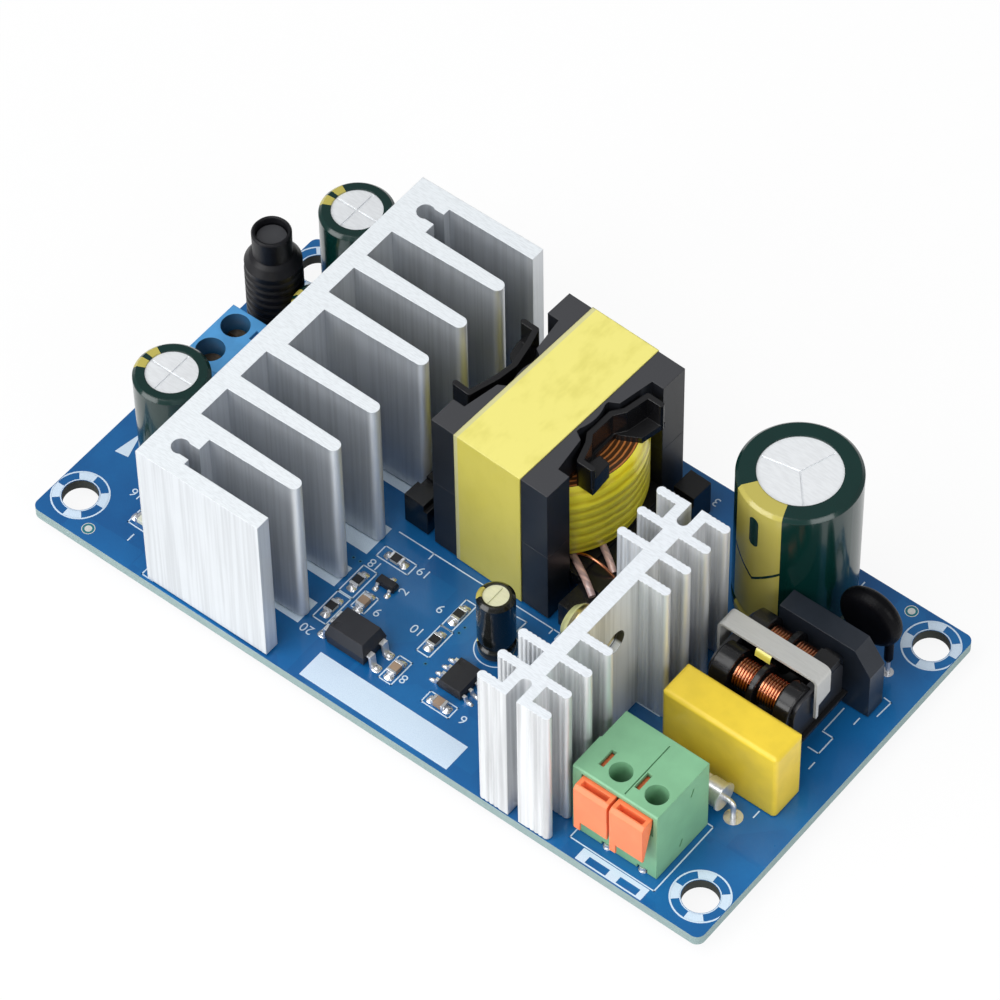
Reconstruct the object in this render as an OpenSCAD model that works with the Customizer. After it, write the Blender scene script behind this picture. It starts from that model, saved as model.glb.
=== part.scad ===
// Open frame power supply on a printed board.
// All sizes are in millimetres. Component positions are measured on the board:
// X runs along the long edge from the low-voltage end to the mains end,
// Y runs across the board, and Z is 0 on the board's top face.
// The whole thing is then shifted so that the origin is the middle of the four
// mounting holes, on the board's underside.

/* [Board] */
// length of the board along X
board_length = 107; // [104:0.5:115]
// width of the board along Y
board_width = 57; // [57:0.5:65]
// thickness of the board
board_thickness = 1.6; // [1.2:0.1:2.4]
// radius of the board's corners
board_corner_r = 1.2; // [0.5:0.1:3]
// X of the two mounting holes at the low-voltage end
hole_first_x = 3.8; // [3.4:0.1:4.2]
// Y of the two mounting holes at the front edge
hole_first_y = 5.18; // [4.6:0.02:5.6]
// distance between mounting holes along X
hole_span_x = 99.5; // [98:0.1:100]
// distance between mounting holes along Y
hole_span_y = 47.6; // [46:0.1:48]
// radius of the mounting holes
hole_r = 2.4; // [1.6:0.1:2.4]

/* [Solder joints] */
// how far the trimmed leads stand below the board
lead_tail = 1.9; // [1:0.1:2.5]
// play of a lead in its drilled hole, on the radius
drill_play = 0.15; // [0.08:0.01:0.25]
// width of the solder ring round a hole
pad_ring = 0.55; // [0.3:0.05:0.8]

/* [Output heatsink] */
// X of the flat back face that the rectifier is bolted to
output_sink_x = 19.4; // [19.2:0.1:19.8]
// Y of the front end fin's outer face
output_sink_y = 0.3; // [0.1:0.1:0.6]
// size along Y
output_sink_width = 56.1; // [55.8:0.1:56.4]
// how far the fins reach from the back face
output_sink_depth = 19.5; // [17:0.1:20]
// thickness of the base plate behind the ordinary slots
output_sink_base = 2.6; // [2.2:0.1:3]
// thickness of the base plate behind the middle slot
output_sink_middle_base = 4.0; // [3.2:0.1:5]
// thickness of the base plate in the two end slots
output_sink_end_base = 6.05; // [5.6:0.05:6.8]
// thickness of a fin at its root
output_fin_root = 2.6; // [2.2:0.1:3]
// thickness of a fin at its rounded tip
output_fin_tip = 1.9; // [1.4:0.1:2.1]
// height of the heatsink above the board
output_sink_top = 26.4; // [22:0.2:34]
// gap between the board and the heatsink
output_sink_gap = 0.4; // [0.2:0.1:1]

/* [Primary heatsink] */
// X of the spine's face that the switch is bolted to
primary_sink_x = 77.2; // [77:0.1:77.4]
// thickness of the spine
primary_spine = 2.4; // [2:0.1:2.6]
// Y of the front end fin's outer face
primary_sink_y = 0.05; // [0:0.05:0.2]
// size along Y
primary_sink_width = 36.4; // [36:0.1:36.8]
// reach of the fins on the switch side
primary_fin_left = 4.3; // [3.6:0.1:4.4]
// reach of the fins on the other side
primary_fin_right = 4.25; // [3.6:0.05:4.4]
// thickness of the web of a serrated fin
primary_fin_web = 0.95; // [0.8:0.05:1.1]
// thickness of a serrated fin over its ridges
primary_fin_ridge = 1.3; // [1.2:0.05:1.5]
// ridges along one fin
primary_fin_ridges = 5; // [3:1:6]
// height of the heatsink above the board
primary_sink_top = 25.4; // [22:0.2:32]

/* [Bolted packages] */
// height of the bolt above the board
package_bolt_z = 17.3; // [16:0.1:18]
// Y of the rectifier's middle
rectifier_y = 28.25; // [27.5:0.05:29]
// Y of the switch's middle
switch_y = 18.65; // [18.4:0.05:18.9]
// radius of the bolt's thread
bolt_r = 1.45; // [1.2:0.05:1.5]

/* [Transformer] */
// X of the core's middle
transformer_x = 54.2; // [53.8:0.1:54.6]
// Y of the core's middle
transformer_y = 40; // [39.6:0.1:40.4]
// how far the transformer is turned on the board, in degrees
transformer_turn = -2.2; // [-3:0.1:0]
// width of the core along X
core_width = 18.8; // [18:0.1:19.4]
// length of the core along Y
core_length = 26.4; // [26:0.1:27]
// top of the core
core_top = 25.2; // [24.6:0.1:27]
// height of the line where the two core halves meet
core_split = 12.75; // [12:0.05:13.5]
// thickness of the core's outer legs beside its windings
core_leg = 4.2; // [3.6:0.1:4.3]
// thickness of the core's top and bottom plates
core_plate = 4.3; // [3.8:0.1:4.5]
// width of the core's plates between their two notches
core_waist = 11; // [10.8:0.1:11.2]
// radius of the core's middle post
core_post_r = 6; // [5.4:0.1:6.2]
// width of the tape round the core
tape_width = 10.75; // [8:0.05:10.8]
// thickness of the tape round the core
tape_thickness = 0.12; // [0.06:0.02:0.2]
// radius of the taped windings
winding_r = 11.5; // [10.6:0.1:11.6]
// top of the rim on the bobbin's upper flange
bobbin_rim_top = 24.5; // [22:0.1:24.9]

/* [Capacitors] */
// radius of the input capacitor
input_can_r = 8; // [7.5:0.1:8.2]
// top of the input capacitor
input_can_top = 25.3; // [20:0.1:31]
// radius of the output capacitors
output_can_r = 5; // [4:0.1:5.1]
// top of the output capacitors
output_can_top = 20.3; // [16:0.1:26]
// radius of the filter capacitor behind the inductor
filter_can_r = 4; // [3.2:0.1:4.1]
// top of the filter capacitor
filter_can_top = 12; // [9:0.1:14]
// radius of the small supply capacitor
supply_can_r = 2.5; // [2:0.1:2.6]
// top of the small supply capacitor
supply_can_top = 11.2; // [9:0.1:12]
// radius of the dipped capacitor beside the switch
dipped_r = 2.9; // [2.4:0.1:3]
// thickness of the dipped capacitor beside the switch
dipped_thickness = 3.3; // [2:0.1:3.4]
// thickness of the printed sleeves
sleeve_wall = 0.15; // [0.1:0.01:0.25]

/* [Inductor] */
// radius of the shrunk tube round the inductor's coil
inductor_r = 3.85; // [3.4:0.05:3.9]
// top of the tube's collar
inductor_top = 20; // [17:0.2:22]
// radius of the tube's collar
collar_r = 2.6; // [2.4:0.1:3]

/* [Output terminal] */
// pitch of the two clamping positions
output_terminal_pitch = 5; // [5:0.02:5.08]
// top of the housing
output_terminal_top = 10; // [9.6:0.1:11]
// radius of a screw's head
terminal_screw_r = 1.7; // [1.5:0.05:1.75]
// play of a screw's head in its well, on the radius
terminal_screw_play = 0.25; // [0.15:0.01:0.3]
// radius of a screw's shank
terminal_shank_r = 1.2; // [1:0.05:1.3]
// running fit of the shank in the clamp, on the radius
shank_fit = 0.05; // [0.02:0.01:0.1]
// how far a clamp rises
clamp_travel = 1.8; // [1:0.1:1.8]

/* [Input terminal] */
// pitch of the two wire positions
input_terminal_pitch = 5.44; // [5.3:0.02:5.5]
// top of the housing
input_terminal_top = 13; // [12.8:0.1:14]
// radius of the wire holes
wire_hole_r = 1.5; // [1.2:0.05:1.55]
// depth of the wire holes
wire_hole_depth = 9.6; // [8:0.1:10]
// play of a lever in its pocket
lever_play = 0.2; // [0.15:0.01:0.3]

/* [Mains parts] */
// length of the film capacitor
film_length = 17.55; // [16:0.05:17.8]
// thickness of the film capacitor
film_thickness = 5.4; // [4.5:0.1:5.6]
// top of the film capacitor
film_top = 12; // [10:0.1:14]
// radius of the film capacitor's rounded edges
film_edge_r = 0.6; // [0.3:0.05:1]
// height of the choke's two coils above the board
choke_axis_z = 9.5; // [9:0.1:10]
// distance between the choke's two coils
choke_coil_span = 6.2; // [6:0.1:6.6]
// radius of the choke's copper windings
choke_copper_r = 2.2; // [2.05:0.05:2.7]
// radius of the choke's bobbin flanges
choke_flange_r = 2.95; // [2.75:0.05:3]
// top of the choke's metal strap
strap_top = 14.1; // [13.6:0.1:15]
// thickness of the choke's metal strap
strap_thickness = 0.4; // [0.2:0.05:0.45]
// top of the bridge rectifier
bridge_top = 12; // [10:0.1:13]
// radius of the thermistor's disc
thermistor_r = 4.5; // [4:0.1:4.8]
// thickness of the thermistor's disc
thermistor_thickness = 2.6; // [2.4:0.1:3.2]
// radius of the fuse's glass tube
fuse_r = 1.6; // [1.3:0.05:1.75]

/* [Hidden] */
// enough segments for every round surface to count as a true circle
$fn = 48;
// room for a cut to run past the face that it opens
eps = 0.5;
// gap between the board and a part that stands on it
standoff = 0.2;
// middle of the mounting holes, which becomes the origin
middle_x = hole_first_x + hole_span_x / 2;
middle_y = hole_first_y + hole_span_y / 2;
// bottom of the trimmed leads
tail_z = -board_thickness - lead_tail;
// sizes of a bolted three-lead package
package_width = 10;
package_height = 9.1;
package_depth = 4.5;
package_tab = 1.3;
package_head_gap = 0.65;
package_lead_pitch = 2.54;
package_lead_offset = 2.7;
package_lead_width = 0.8;
package_lead_depth = 0.5;
package_bolt_to_top = 2.9;
screw_head_r = 2.75;
package_tab_height = package_height + package_head_gap + screw_head_r + package_bolt_to_top;
package_tab_top = package_bolt_z + package_bolt_to_top;
package_tab_bottom = package_tab_top - package_tab_height;
// X of the leads of the two bolted packages
rectifier_lead_x = output_sink_x - package_lead_offset;
switch_lead_x = primary_sink_x - package_lead_offset;
// fin centres of the output heatsink, from its front face, without the two end fins
output_fin_spots = [8.15, 15.7, 23.25, 32.85, 40.4, 47.95];
output_end_fin = 2.15;
keyhole_r = 1.2;
keyhole_neck = 2;
keyhole_inset = 4;
keyhole_far_inset = keyhole_inset + 0.25;
keyhole_x = 23.3;
// fin centres of the primary heatsink, from its front face
primary_fin_spots = [0.65, 4.55, 8.5, 12.52, 23.88, 27.9, 31.85, 35.75];
primary_outer_fins = [0, 1, 2, 5, 6, 7];
primary_slot = 1.6;
primary_slot_depth = 3.5;
primary_slot_wall = 1.45;
bolt_relief = 0.9;
// pins that hold the heatsinks, each [x, y, radius]
output_sink_pin_inset = output_sink_y + keyhole_inset;
output_sink_far_pin = output_sink_y + output_sink_width - keyhole_far_inset;
primary_slot_x = primary_sink_x + primary_spine / 2;
primary_pin_inset = primary_slot_depth - primary_slot / 2;
primary_far_pin = primary_sink_y + primary_sink_width - primary_pin_inset;
sink_pins = [
  [keyhole_x, output_sink_pin_inset, keyhole_r - 0.05],
  [keyhole_x, output_sink_far_pin, keyhole_r - 0.05],
  [primary_slot_x, primary_sink_y + primary_pin_inset, primary_slot / 2 - 0.05],
  [primary_slot_x, primary_far_pin, primary_slot / 2 - 0.05],
];
// transformer pins, six in each rail
transformer_pin_r = 0.4;
transformer_pin_pitch = 3.8;
bobbin_flange = 1;
bobbin_rim = 0.8;
bobbin_tube = 0.85;
tape_middle = -0.275;
transformer_rail_left = -12.7;
transformer_rail_right = 12.55;
function turned(p) = [
  transformer_x + p[0] * cos(transformer_turn) - p[1] * sin(transformer_turn),
  transformer_y + p[0] * sin(transformer_turn) + p[1] * cos(transformer_turn),
];
transformer_pins_local = [
  for (side = [transformer_rail_left, transformer_rail_right])
    for (i = [0:5])
      [side, (i - 2.5) * transformer_pin_pitch]
];
transformer_pin_spots = [
  for (p = transformer_pins_local)
    [turned(p)[0], turned(p)[1], transformer_pin_r]
];
// electrolytic capacitors, each [x, y, radius, top, lead spacing, lead radius]
input_can = [85, 48.7, input_can_r, input_can_top, 7.5, 0.4];
input_vent_turn = 71;
output_can_a = [11.4, 16, output_can_r, output_can_top, 5, 0.3];
output_can_b = [12.8, 50.95, output_can_r, output_can_top, 5, 0.3];
filter_can = [14.5, 41.3, filter_can_r, filter_can_top, 3.5, 0.25];
supply_can = [60.8, 19, supply_can_r, supply_can_top, 2, 0.25];
all_cans = [input_can, output_can_a, output_can_b, filter_can, supply_can];
can_lead_spots = [
  for (c = all_cans)
    for (side = [-0.5, 0.5])
      [c[0], c[1] + side * c[4], c[5]]
];
// dipped capacitor, a thick disc that stands across X
dipped_x = 69.5;
dipped_y = 24.6;
dipped_z = 6.4;
dipped_lead_top = dipped_z - dipped_r * 0.95;
dipped_lead_r = 0.25;
dipped_spots = [
  for (side = [-0.5, 0.5])
    [dipped_x, dipped_y + side * 2.54, dipped_lead_r]
];
// inductor
inductor_x = 6.2;
inductor_y = 41.7;
inductor_lead_r = 0.45;
inductor_lead_span = 5;
inductor_lead_spots = [
  for (side = [-0.5, 0.5])
    [inductor_x, inductor_y + side * inductor_lead_span, inductor_lead_r]
];
// output terminal
output_terminal_front = 3.9;
output_terminal_back = 11;
output_terminal_y = 30.35;
output_terminal_width = 10;
clamp_mid_x = 7.05;
clamp_width = 3.3;
clamp_length = 3.6;
clamp_room = 0.25;
clamp_floor_z = 0.6;
clamp_floor = 0.5;
clamp_roof_z = 4;
clamp_roof = 0.6;
terminal_ledge_z = clamp_roof_z + clamp_roof + clamp_travel + 0.1;
terminal_bar_z = 3.3;
terminal_bar = 0.5;
terminal_head = 0.7;
terminal_pin_x = 9.6;
terminal_pin_r = 0.5;
terminal_ys = [for (side = [-0.5, 0.5]) output_terminal_y + side * output_terminal_pitch];
output_terminal_spots = [for (y = terminal_ys) [terminal_pin_x, y, terminal_pin_r]];
// input terminal
input_terminal_x0 = 84.75;
input_terminal_x1 = 97.6;
input_terminal_y0 = 3.8;
input_terminal_y1 = 14.1;
wire_hole_x = 89.98;
wire_hole_y = 6.57;
wire_hole_xs = [wire_hole_x, wire_hole_x + input_terminal_pitch];
wire_hole_floor = input_terminal_top - wire_hole_depth;
lever_width = 5.05;
lever_from_hole = 3.68;
lever_pivot_y = 4.15;
lever_pivot_z = 5.4;
lever_pivot_r = 0.6;
lever_pivot_fit = 0.05;
lever_neck = 0.7;
lever_neck_inset = 1;
lever_top = 12;
lever_bottom = 5;
lever_front_y = 1.9;
lever_back_top_y = 4.1;
lever_back_low_y = 2.3;
lever_arm_x = 2.98;
lever_arm_width = 1.1;
lever_arm_y = 8.6;
lever_arm_z = 10.7;
input_pin_y = 4.1;
input_pin_r = 0.5;
input_terminal_spots = [for (x = wire_hole_xs) [x, input_pin_y, input_pin_r]];
// mains parts
film_x = 85.95;
film_y = 19.8;
film_lead_r = 0.4;
film_lead_span = 15;
film_spots = [
  for (side = [-0.5, 0.5])
    [film_x + film_length / 2 + side * film_lead_span, film_y + film_thickness / 2, film_lead_r]
];
choke_x0 = 87.4;
choke_x1 = 100.45;
choke_y = 32.4;
choke_barrel_r = 1.85;
choke_sections = [[90.65, 93.7], [94.5, 97.8]];
choke_yoke_r = 1.95;
choke_foot_z = 4.7;
choke_pin_r = 0.35;
strap_x0 = 86;
strap_x1 = 101.2;
strap_half_width = 1.42;
strap_fold_r = 0.9;
choke_spots = [
  for (x = [choke_x0 + 1.9, choke_x1 - 1.9])
    for (side = [-1, 1])
      [x, choke_y + side * 4.6, choke_pin_r]
];
bridge_x0 = 89.6;
bridge_x1 = 103.6;
bridge_y0 = 38.9;
bridge_depth = 3;
bridge_lead_r = 0.4;
bridge_lead_pitch = 3.8;
bridge_spots = [
  for (i = [-1.5:1.5])
    [(bridge_x0 + bridge_x1) / 2 + i * bridge_lead_pitch, bridge_y0 + bridge_depth / 2, bridge_lead_r]
];
thermistor_x = 98.4;
thermistor_y = 46.15;
thermistor_z = 9.3;
thermistor_lead_r = 0.3;
thermistor_lead_span = 5.9;
thermistor_coat_z = 2.5;
thermistor_coat_r = 0.6;
thermistor_sunk = 1;
thermistor_spots = [
  for (side = [-0.5, 0.5])
    [thermistor_x + side * thermistor_lead_span, thermistor_y, thermistor_lead_r]
];
fuse_y = 16.9;
fuse_z = 3;
fuse_x0 = 87;
fuse_x1 = 98;
fuse_cap = 2.4;
fuse_lead_r = 0.35;
fuse_lead_x0 = 84.2;
fuse_lead_x1 = 99.4;
fuse_flange = 0.25;
fuse_bend_r = 0.9;
fuse_spots = [[fuse_lead_x0, fuse_y, fuse_lead_r], [fuse_lead_x1, fuse_y, fuse_lead_r]];
// every round lead that is soldered, each [x, y, radius]
round_leads = concat(
  sink_pins,
  transformer_pin_spots,
  can_lead_spots,
  inductor_lead_spots,
  output_terminal_spots,
  input_terminal_spots,
  film_spots,
  choke_spots,
  bridge_spots,
  thermistor_spots,
  dipped_spots,
  fuse_spots
);
// every flat lead that is soldered, each [x, y]
flat_leads = [
  for (i = [-1:1]) [rectifier_lead_x, rectifier_y + i * package_lead_pitch],
  for (i = [-1:1]) [switch_lead_x, switch_y + i * package_lead_pitch],
];
flat_lead_r = norm([package_lead_width, package_lead_depth]) / 2;
// surface parts: chips are [x, y, length along X, length along Y]
chip_height = 0.55;
chip_resistor_spots = [
  [40.5, 16.38, 1.25, 2],
  [40.48, 11.2, 1.25, 2],
  [42.23, 21.98, 2, 1.25],
  [53.88, 20.08, 1.25, 2],
  [54, 15.08, 1.25, 2],
];
chip_capacitor_height = 0.85;
chip_capacitor_spots = [
  [52.9, 8.6, 1.25, 2],
  [43.25, 14.2, 1.25, 2],
  [60.55, 7.88, 2, 1.25],
];
status_lamp = [13, 6.95, 2, 1.25];
chip_end = 0.4;
controller_x0 = 58.6;
controller_x1 = 62.4;
controller_y0 = 9.75;
controller_y1 = 14.6;
controller_z = 1.6;
opto_x0 = 43.4;
opto_x1 = 49.7;
opto_y0 = 6.3;
opto_y1 = 10.9;
opto_z = 3.9;
reference_x0 = 42.45;
reference_x1 = 45.3;
reference_y0 = 17.45;
reference_y1 = 18.75;

// A plain box given by its limits.
module block(x0, x1, y0, y1, z0, z1) {
  translate([x0, y0, z0])
    cube([x1 - x0, y1 - y0, z1 - z0]);
}

// A rectangle with round corners, given by its limits.
module round_plan(x0, x1, y0, y1, r) {
  translate([x0 + r, y0])
    square([x1 - x0 - 2 * r, y1 - y0]);
  translate([x0, y0 + r])
    square([x1 - x0, y1 - y0 - 2 * r]);
  for (x = [x0 + r, x1 - r])
    for (y = [y0 + r, y1 - r])
      translate([x, y])
        circle(r);
}

// A box with round upright edges.
module round_block(x0, x1, y0, y1, z0, z1, r) {
  translate([0, 0, z0])
    linear_extrude(z1 - z0)
      round_plan(x0, x1, y0, y1, r);
}

// An outline in Y and Z, given as [y, z] points, extruded from x0 to x1.
module side_profile(points, x0, x1) {
  translate([x0, 0, 0])
    rotate([90, 0, 90])
      linear_extrude(x1 - x0)
        polygon(points);
}

// An outline in X and Z, given as [x, z] points, extruded from y0 to y1.
module front_profile(points, y0, y1) {
  translate([0, y1, 0])
    rotate([90, 0, 0])
      linear_extrude(y1 - y0)
        polygon(points);
}

// A round bar from one point to another.
module rod(a, b, r) {
  d = b - a;
  flat = norm([d[0], d[1]]);
  translate(a)
    rotate([0, atan2(flat, d[2]), atan2(d[1], d[0])])
      cylinder(r = r, h = norm(d));
}

// Round leads from height z0 down to the trimmed end, at a list of spots.
module tails(spots, z0) {
  for (s = spots)
    translate([s[0], s[1], tail_z])
      cylinder(r = s[2], h = z0 - tail_z);
}

module board() {
  color([0.02, 0.22, 0.5])
    difference() {
      translate([0, 0, -board_thickness])
        linear_extrude(board_thickness)
          round_plan(0, board_length, 0, board_width, board_corner_r);
      for (x = [hole_first_x, hole_first_x + hole_span_x])
        for (y = [hole_first_y, hole_first_y + hole_span_y])
          translate([x, y, -board_thickness - eps])
            cylinder(r = hole_r, h = board_thickness + 2 * eps);
      for (s = round_leads)
        translate([s[0], s[1], -board_thickness - eps])
          cylinder(r = s[2] + drill_play, h = board_thickness + 2 * eps);
      for (s = flat_leads)
        translate([s[0], s[1], -board_thickness - eps])
          cylinder(r = flat_lead_r + drill_play, h = board_thickness + 2 * eps);
    }
}

// One joint: solder fills the drilled hole and runs down the lead in a cone.
module solder_cone(lead_r) {
  drill_r = lead_r + drill_play;
  rotate_extrude()
    polygon([
      [0, 0],
      [drill_r, 0],
      [drill_r, -board_thickness],
      [drill_r + pad_ring, -board_thickness],
      [drill_r + pad_ring, -board_thickness - 0.12],
      [lead_r + 0.42, -board_thickness - 0.6],
      [lead_r + 0.2, -board_thickness - 1.2],
      [lead_r + 0.12, tail_z],
      [0, tail_z],
    ]);
}

module solder_joints() {
  color([0.75, 0.76, 0.78]) {
    for (s = round_leads)
      translate([s[0], s[1], 0])
        difference() {
          solder_cone(s[2]);
          translate([0, 0, tail_z - eps])
            cylinder(r = s[2], h = -tail_z + 2 * eps);
        }
    for (s = flat_leads)
      translate([s[0], s[1], 0])
        difference() {
          solder_cone(flat_lead_r);
          block(-package_lead_depth / 2, package_lead_depth / 2, -package_lead_width / 2,
            package_lead_width / 2, tail_z - eps, eps);
        }
  }
}

// One fin in plan: a taper with a round tip.
module output_fin_plan(y) {
  tip_x = output_sink_depth - output_fin_tip / 2;
  polygon([
    [output_sink_base / 2, y - output_fin_root / 2],
    [tip_x, y - output_fin_tip / 2],
    [tip_x, y + output_fin_tip / 2],
    [output_sink_base / 2, y + output_fin_root / 2],
  ]);
  intersection() {
    translate([tip_x, y])
      circle(output_fin_tip / 2);
    translate([tip_x, y - output_fin_tip])
      square([output_fin_tip, 2 * output_fin_tip]);
  }
}

module output_sink_plan() {
  w = output_sink_width;
  first = output_fin_spots[0];
  last = output_fin_spots[len(output_fin_spots) - 1];
  difference() {
    union() {
      square([output_sink_base, w]);
      square([output_sink_end_base, first]);
      translate([0, last])
        square([output_sink_end_base, w - last]);
      translate([0, output_fin_spots[2]])
        square([output_sink_middle_base, output_fin_spots[3] - output_fin_spots[2]]);
      square([output_sink_depth, output_end_fin]);
      translate([0, w - output_end_fin])
        square([output_sink_depth, output_end_fin]);
      for (y = output_fin_spots)
        output_fin_plan(y);
    }
    for (y = [keyhole_inset, w - keyhole_far_inset]) {
      translate([keyhole_x - output_sink_x, y])
        circle(keyhole_r);
      translate([keyhole_x - output_sink_x, y - keyhole_neck / 2])
        square([output_sink_depth / 4, keyhole_neck]);
    }
  }
}

module output_heatsink() {
  color([0.8, 0.81, 0.83])
    difference() {
      translate([output_sink_x, output_sink_y, output_sink_gap])
        linear_extrude(output_sink_top - output_sink_gap)
          output_sink_plan();
      translate([output_sink_x - eps, rectifier_y, package_bolt_z])
        rotate([0, 90, 0])
          cylinder(r = bolt_r + 0.05, h = output_sink_middle_base + 2 * eps);
    }
}

// One serrated fin in plan: a thin web with a row of round ridges, reaching from x0 to x1.
module serrated_fin_plan(x0, x1) {
  r = primary_fin_ridge / 2;
  reach = x1 - x0;
  step = (abs(reach) - 2 * r) / primary_fin_ridges;
  way = sign(reach);
  translate([min(x0, x1 - way * r), -primary_fin_web / 2])
    square([abs(reach) - r, primary_fin_web]);
  for (i = [0:primary_fin_ridges])
    translate([x1 - way * (r + i * step), 0])
      circle(r);
}

module primary_sink_plan() {
  right = primary_spine;
  last = primary_sink_width;
  neck = primary_slot_depth + 1;
  difference() {
    union() {
      square([right, last]);
      for (y = [0, last - neck])
        translate([right / 2 - primary_slot / 2 - primary_slot_wall, y])
          square([primary_slot + 2 * primary_slot_wall, neck]);
      for (y = primary_fin_spots)
        translate([0, y])
          serrated_fin_plan(right - 0.4, right + primary_fin_right);
      for (i = primary_outer_fins)
        translate([0, primary_fin_spots[i]])
          serrated_fin_plan(0.4, -primary_fin_left);
    }
    for (side = [0, 1])
      translate([right / 2, side * last])
        rotate(side * 180) {
          translate([-primary_slot / 2, -eps])
            square([primary_slot, primary_slot_depth - primary_slot / 2 + eps]);
          translate([0, primary_slot_depth - primary_slot / 2])
            circle(primary_slot / 2);
        }
  }
}

module primary_heatsink() {
  color([0.78, 0.79, 0.81])
    difference() {
      translate([primary_sink_x, primary_sink_y, standoff])
        linear_extrude(primary_sink_top - standoff)
          primary_sink_plan();
      translate([primary_sink_x - eps, switch_y, package_bolt_z])
        rotate([0, 90, 0])
          cylinder(r = bolt_r + 0.05, h = primary_spine + 2 * eps);
      translate([primary_sink_x + primary_spine - bolt_relief, switch_y, package_bolt_z])
        rotate([0, 90, 0])
          cylinder(r = bolt_r + 0.4, h = bolt_relief + eps);
    }
}

// Each pin is pressed a little way up into the channel at the end of its heatsink.
module heatsink_pins() {
  color([0.72, 0.72, 0.7])
    tails(sink_pins, 7);
}

module package_body(face_x, mid_y) {
  front = face_x - package_depth;
  back = face_x - package_tab;
  front_profile([
    [front + 0.25, package_tab_bottom],
    [back, package_tab_bottom],
    [back, package_tab_bottom + package_height],
    [front + 0.5, package_tab_bottom + package_height],
    [front, package_tab_bottom + package_height - 1],
    [front, package_tab_bottom + 1],
  ], mid_y - package_width / 2, mid_y + package_width / 2);
}

module package_tab_and_leads(face_x, mid_y) {
  lead_x = face_x - package_lead_offset;
  difference() {
    block(face_x - package_tab, face_x, mid_y - package_width / 2, mid_y + package_width / 2,
      package_tab_bottom, package_tab_top);
    translate([face_x - package_tab - eps, mid_y, package_bolt_z])
      rotate([0, 90, 0])
        cylinder(r = 1.8, h = package_tab + 2 * eps);
  }
  for (i = [-1:1])
    block(lead_x - package_lead_depth / 2, lead_x + package_lead_depth / 2,
      mid_y + i * package_lead_pitch - package_lead_width / 2,
      mid_y + i * package_lead_pitch + package_lead_width / 2,
      tail_z, package_tab_bottom);
}

module output_rectifier_body() {
  color([0.08, 0.08, 0.08])
    package_body(output_sink_x, rectifier_y);
}

module output_rectifier_tab() {
  color([0.75, 0.75, 0.75])
    package_tab_and_leads(output_sink_x, rectifier_y);
}

module primary_switch_body() {
  color([0.08, 0.08, 0.08])
    package_body(primary_sink_x, switch_y);
}

module primary_switch_tab() {
  color([0.75, 0.75, 0.75])
    package_tab_and_leads(primary_sink_x, switch_y);
}

// A pan head screw with a cross recess, head on the package's tab, shank along X.
module tab_screw(face_x, mid_y, length) {
  head = 2;
  head_x = face_x - package_tab;
  translate([head_x, mid_y, package_bolt_z])
    rotate([0, 90, 0])
      difference() {
        union() {
          translate([0, 0, -head])
            cylinder(r1 = screw_head_r - 0.45, r2 = screw_head_r, h = 0.7);
          translate([0, 0, -head + 0.7])
            cylinder(r = screw_head_r, h = head - 0.7);
          cylinder(r = bolt_r, h = length);
        }
        for (a = [0, 90])
          rotate(a)
            translate([-1.4, -0.3, -head - eps])
              cube([2.8, 0.6, 1 + eps]);
      }
}

module tab_screws() {
  color([0.8, 0.66, 0.35]) {
    tab_screw(output_sink_x, rectifier_y, package_tab + output_sink_middle_base + 0.4);
    tab_screw(primary_sink_x, switch_y, package_tab + primary_spine - bolt_relief - 0.1);
  }
}

// Puts its children in the transformer's own place: X across, Y along the core.
module in_transformer() {
  translate([transformer_x, transformer_y, 0])
    rotate(transformer_turn)
      children();
}

// The bow-tie outline of the core's plates, with a notch for the bobbin in each long side.
module core_plate_plan() {
  half = core_width / 2;
  end = core_length / 2;
  wing = end - core_leg;
  right = [
    [half, -end], [half, -wing], [half - 1.8, -wing], [half - 2.65, -3.75], [core_waist / 2, -3],
    [core_waist / 2, 3], [half - 2.65, 3.75], [half - 1.8, wing], [half, wing], [half, end],
  ];
  polygon(concat(right, [for (p = right) -p]));
}

// One core half from z0 to z1, with its plate at plate_z. The legs are hollowed round the coil.
module core_half(z0, z1, plate_z) {
  half = core_width / 2;
  end = core_length / 2;
  translate([0, 0, plate_z])
    linear_extrude(core_plate)
      core_plate_plan();
  difference() {
    for (side = [-1, 1])
      translate([-half, side * (end - core_leg / 2) - core_leg / 2, z0])
        cube([core_width, core_leg, z1 - z0]);
    translate([0, 0, plate_z < z0 + eps ? z0 + core_plate : z0 - eps])
      cylinder(r = winding_r + 0.1, h = z1 - z0 - core_plate + eps);
  }
  translate([0, 0, z0])
    cylinder(r = core_post_r, h = z1 - z0);
}

module transformer_core() {
  color([0.09, 0.09, 0.1])
    in_transformer() {
      core_half(core_split + 0.03, core_top, core_top - core_plate);
      core_half(0.3, core_split - 0.03, 0.3);
    }
}

// A wall of even thickness along a line of points, with rounded corners, in plan.
module wall_plan(points, thickness) {
  for (p = points)
    translate(p)
      circle(thickness / 2);
  for (i = [0:len(points) - 2]) {
    run = points[i + 1] - points[i];
    translate(points[i])
      rotate(atan2(run[1], run[0]))
        translate([0, -thickness / 2])
          square([norm(run), thickness]);
  }
}

// The two rims of the upper flange: each goes from a hook round the notch to a corner.
module bobbin_rim_plan() {
  wall_plan([
    [10.4, -5.8], [8.4, -5.8], [7.4, -3], [6.6, -1.8], [6.6, 2.3], [7.65, 3.9],
    [8.25, 7.4], [10.4, 7.4],
  ], bobbin_rim);
  wall_plan([
    [-11.3, -6.4], [-9, -6.5], [-7.9, -2.3], [-7.6, 0.5], [-8.4, 4], [-9.2, 6.5], [-11.2, 6.5],
  ], bobbin_rim);
}

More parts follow.
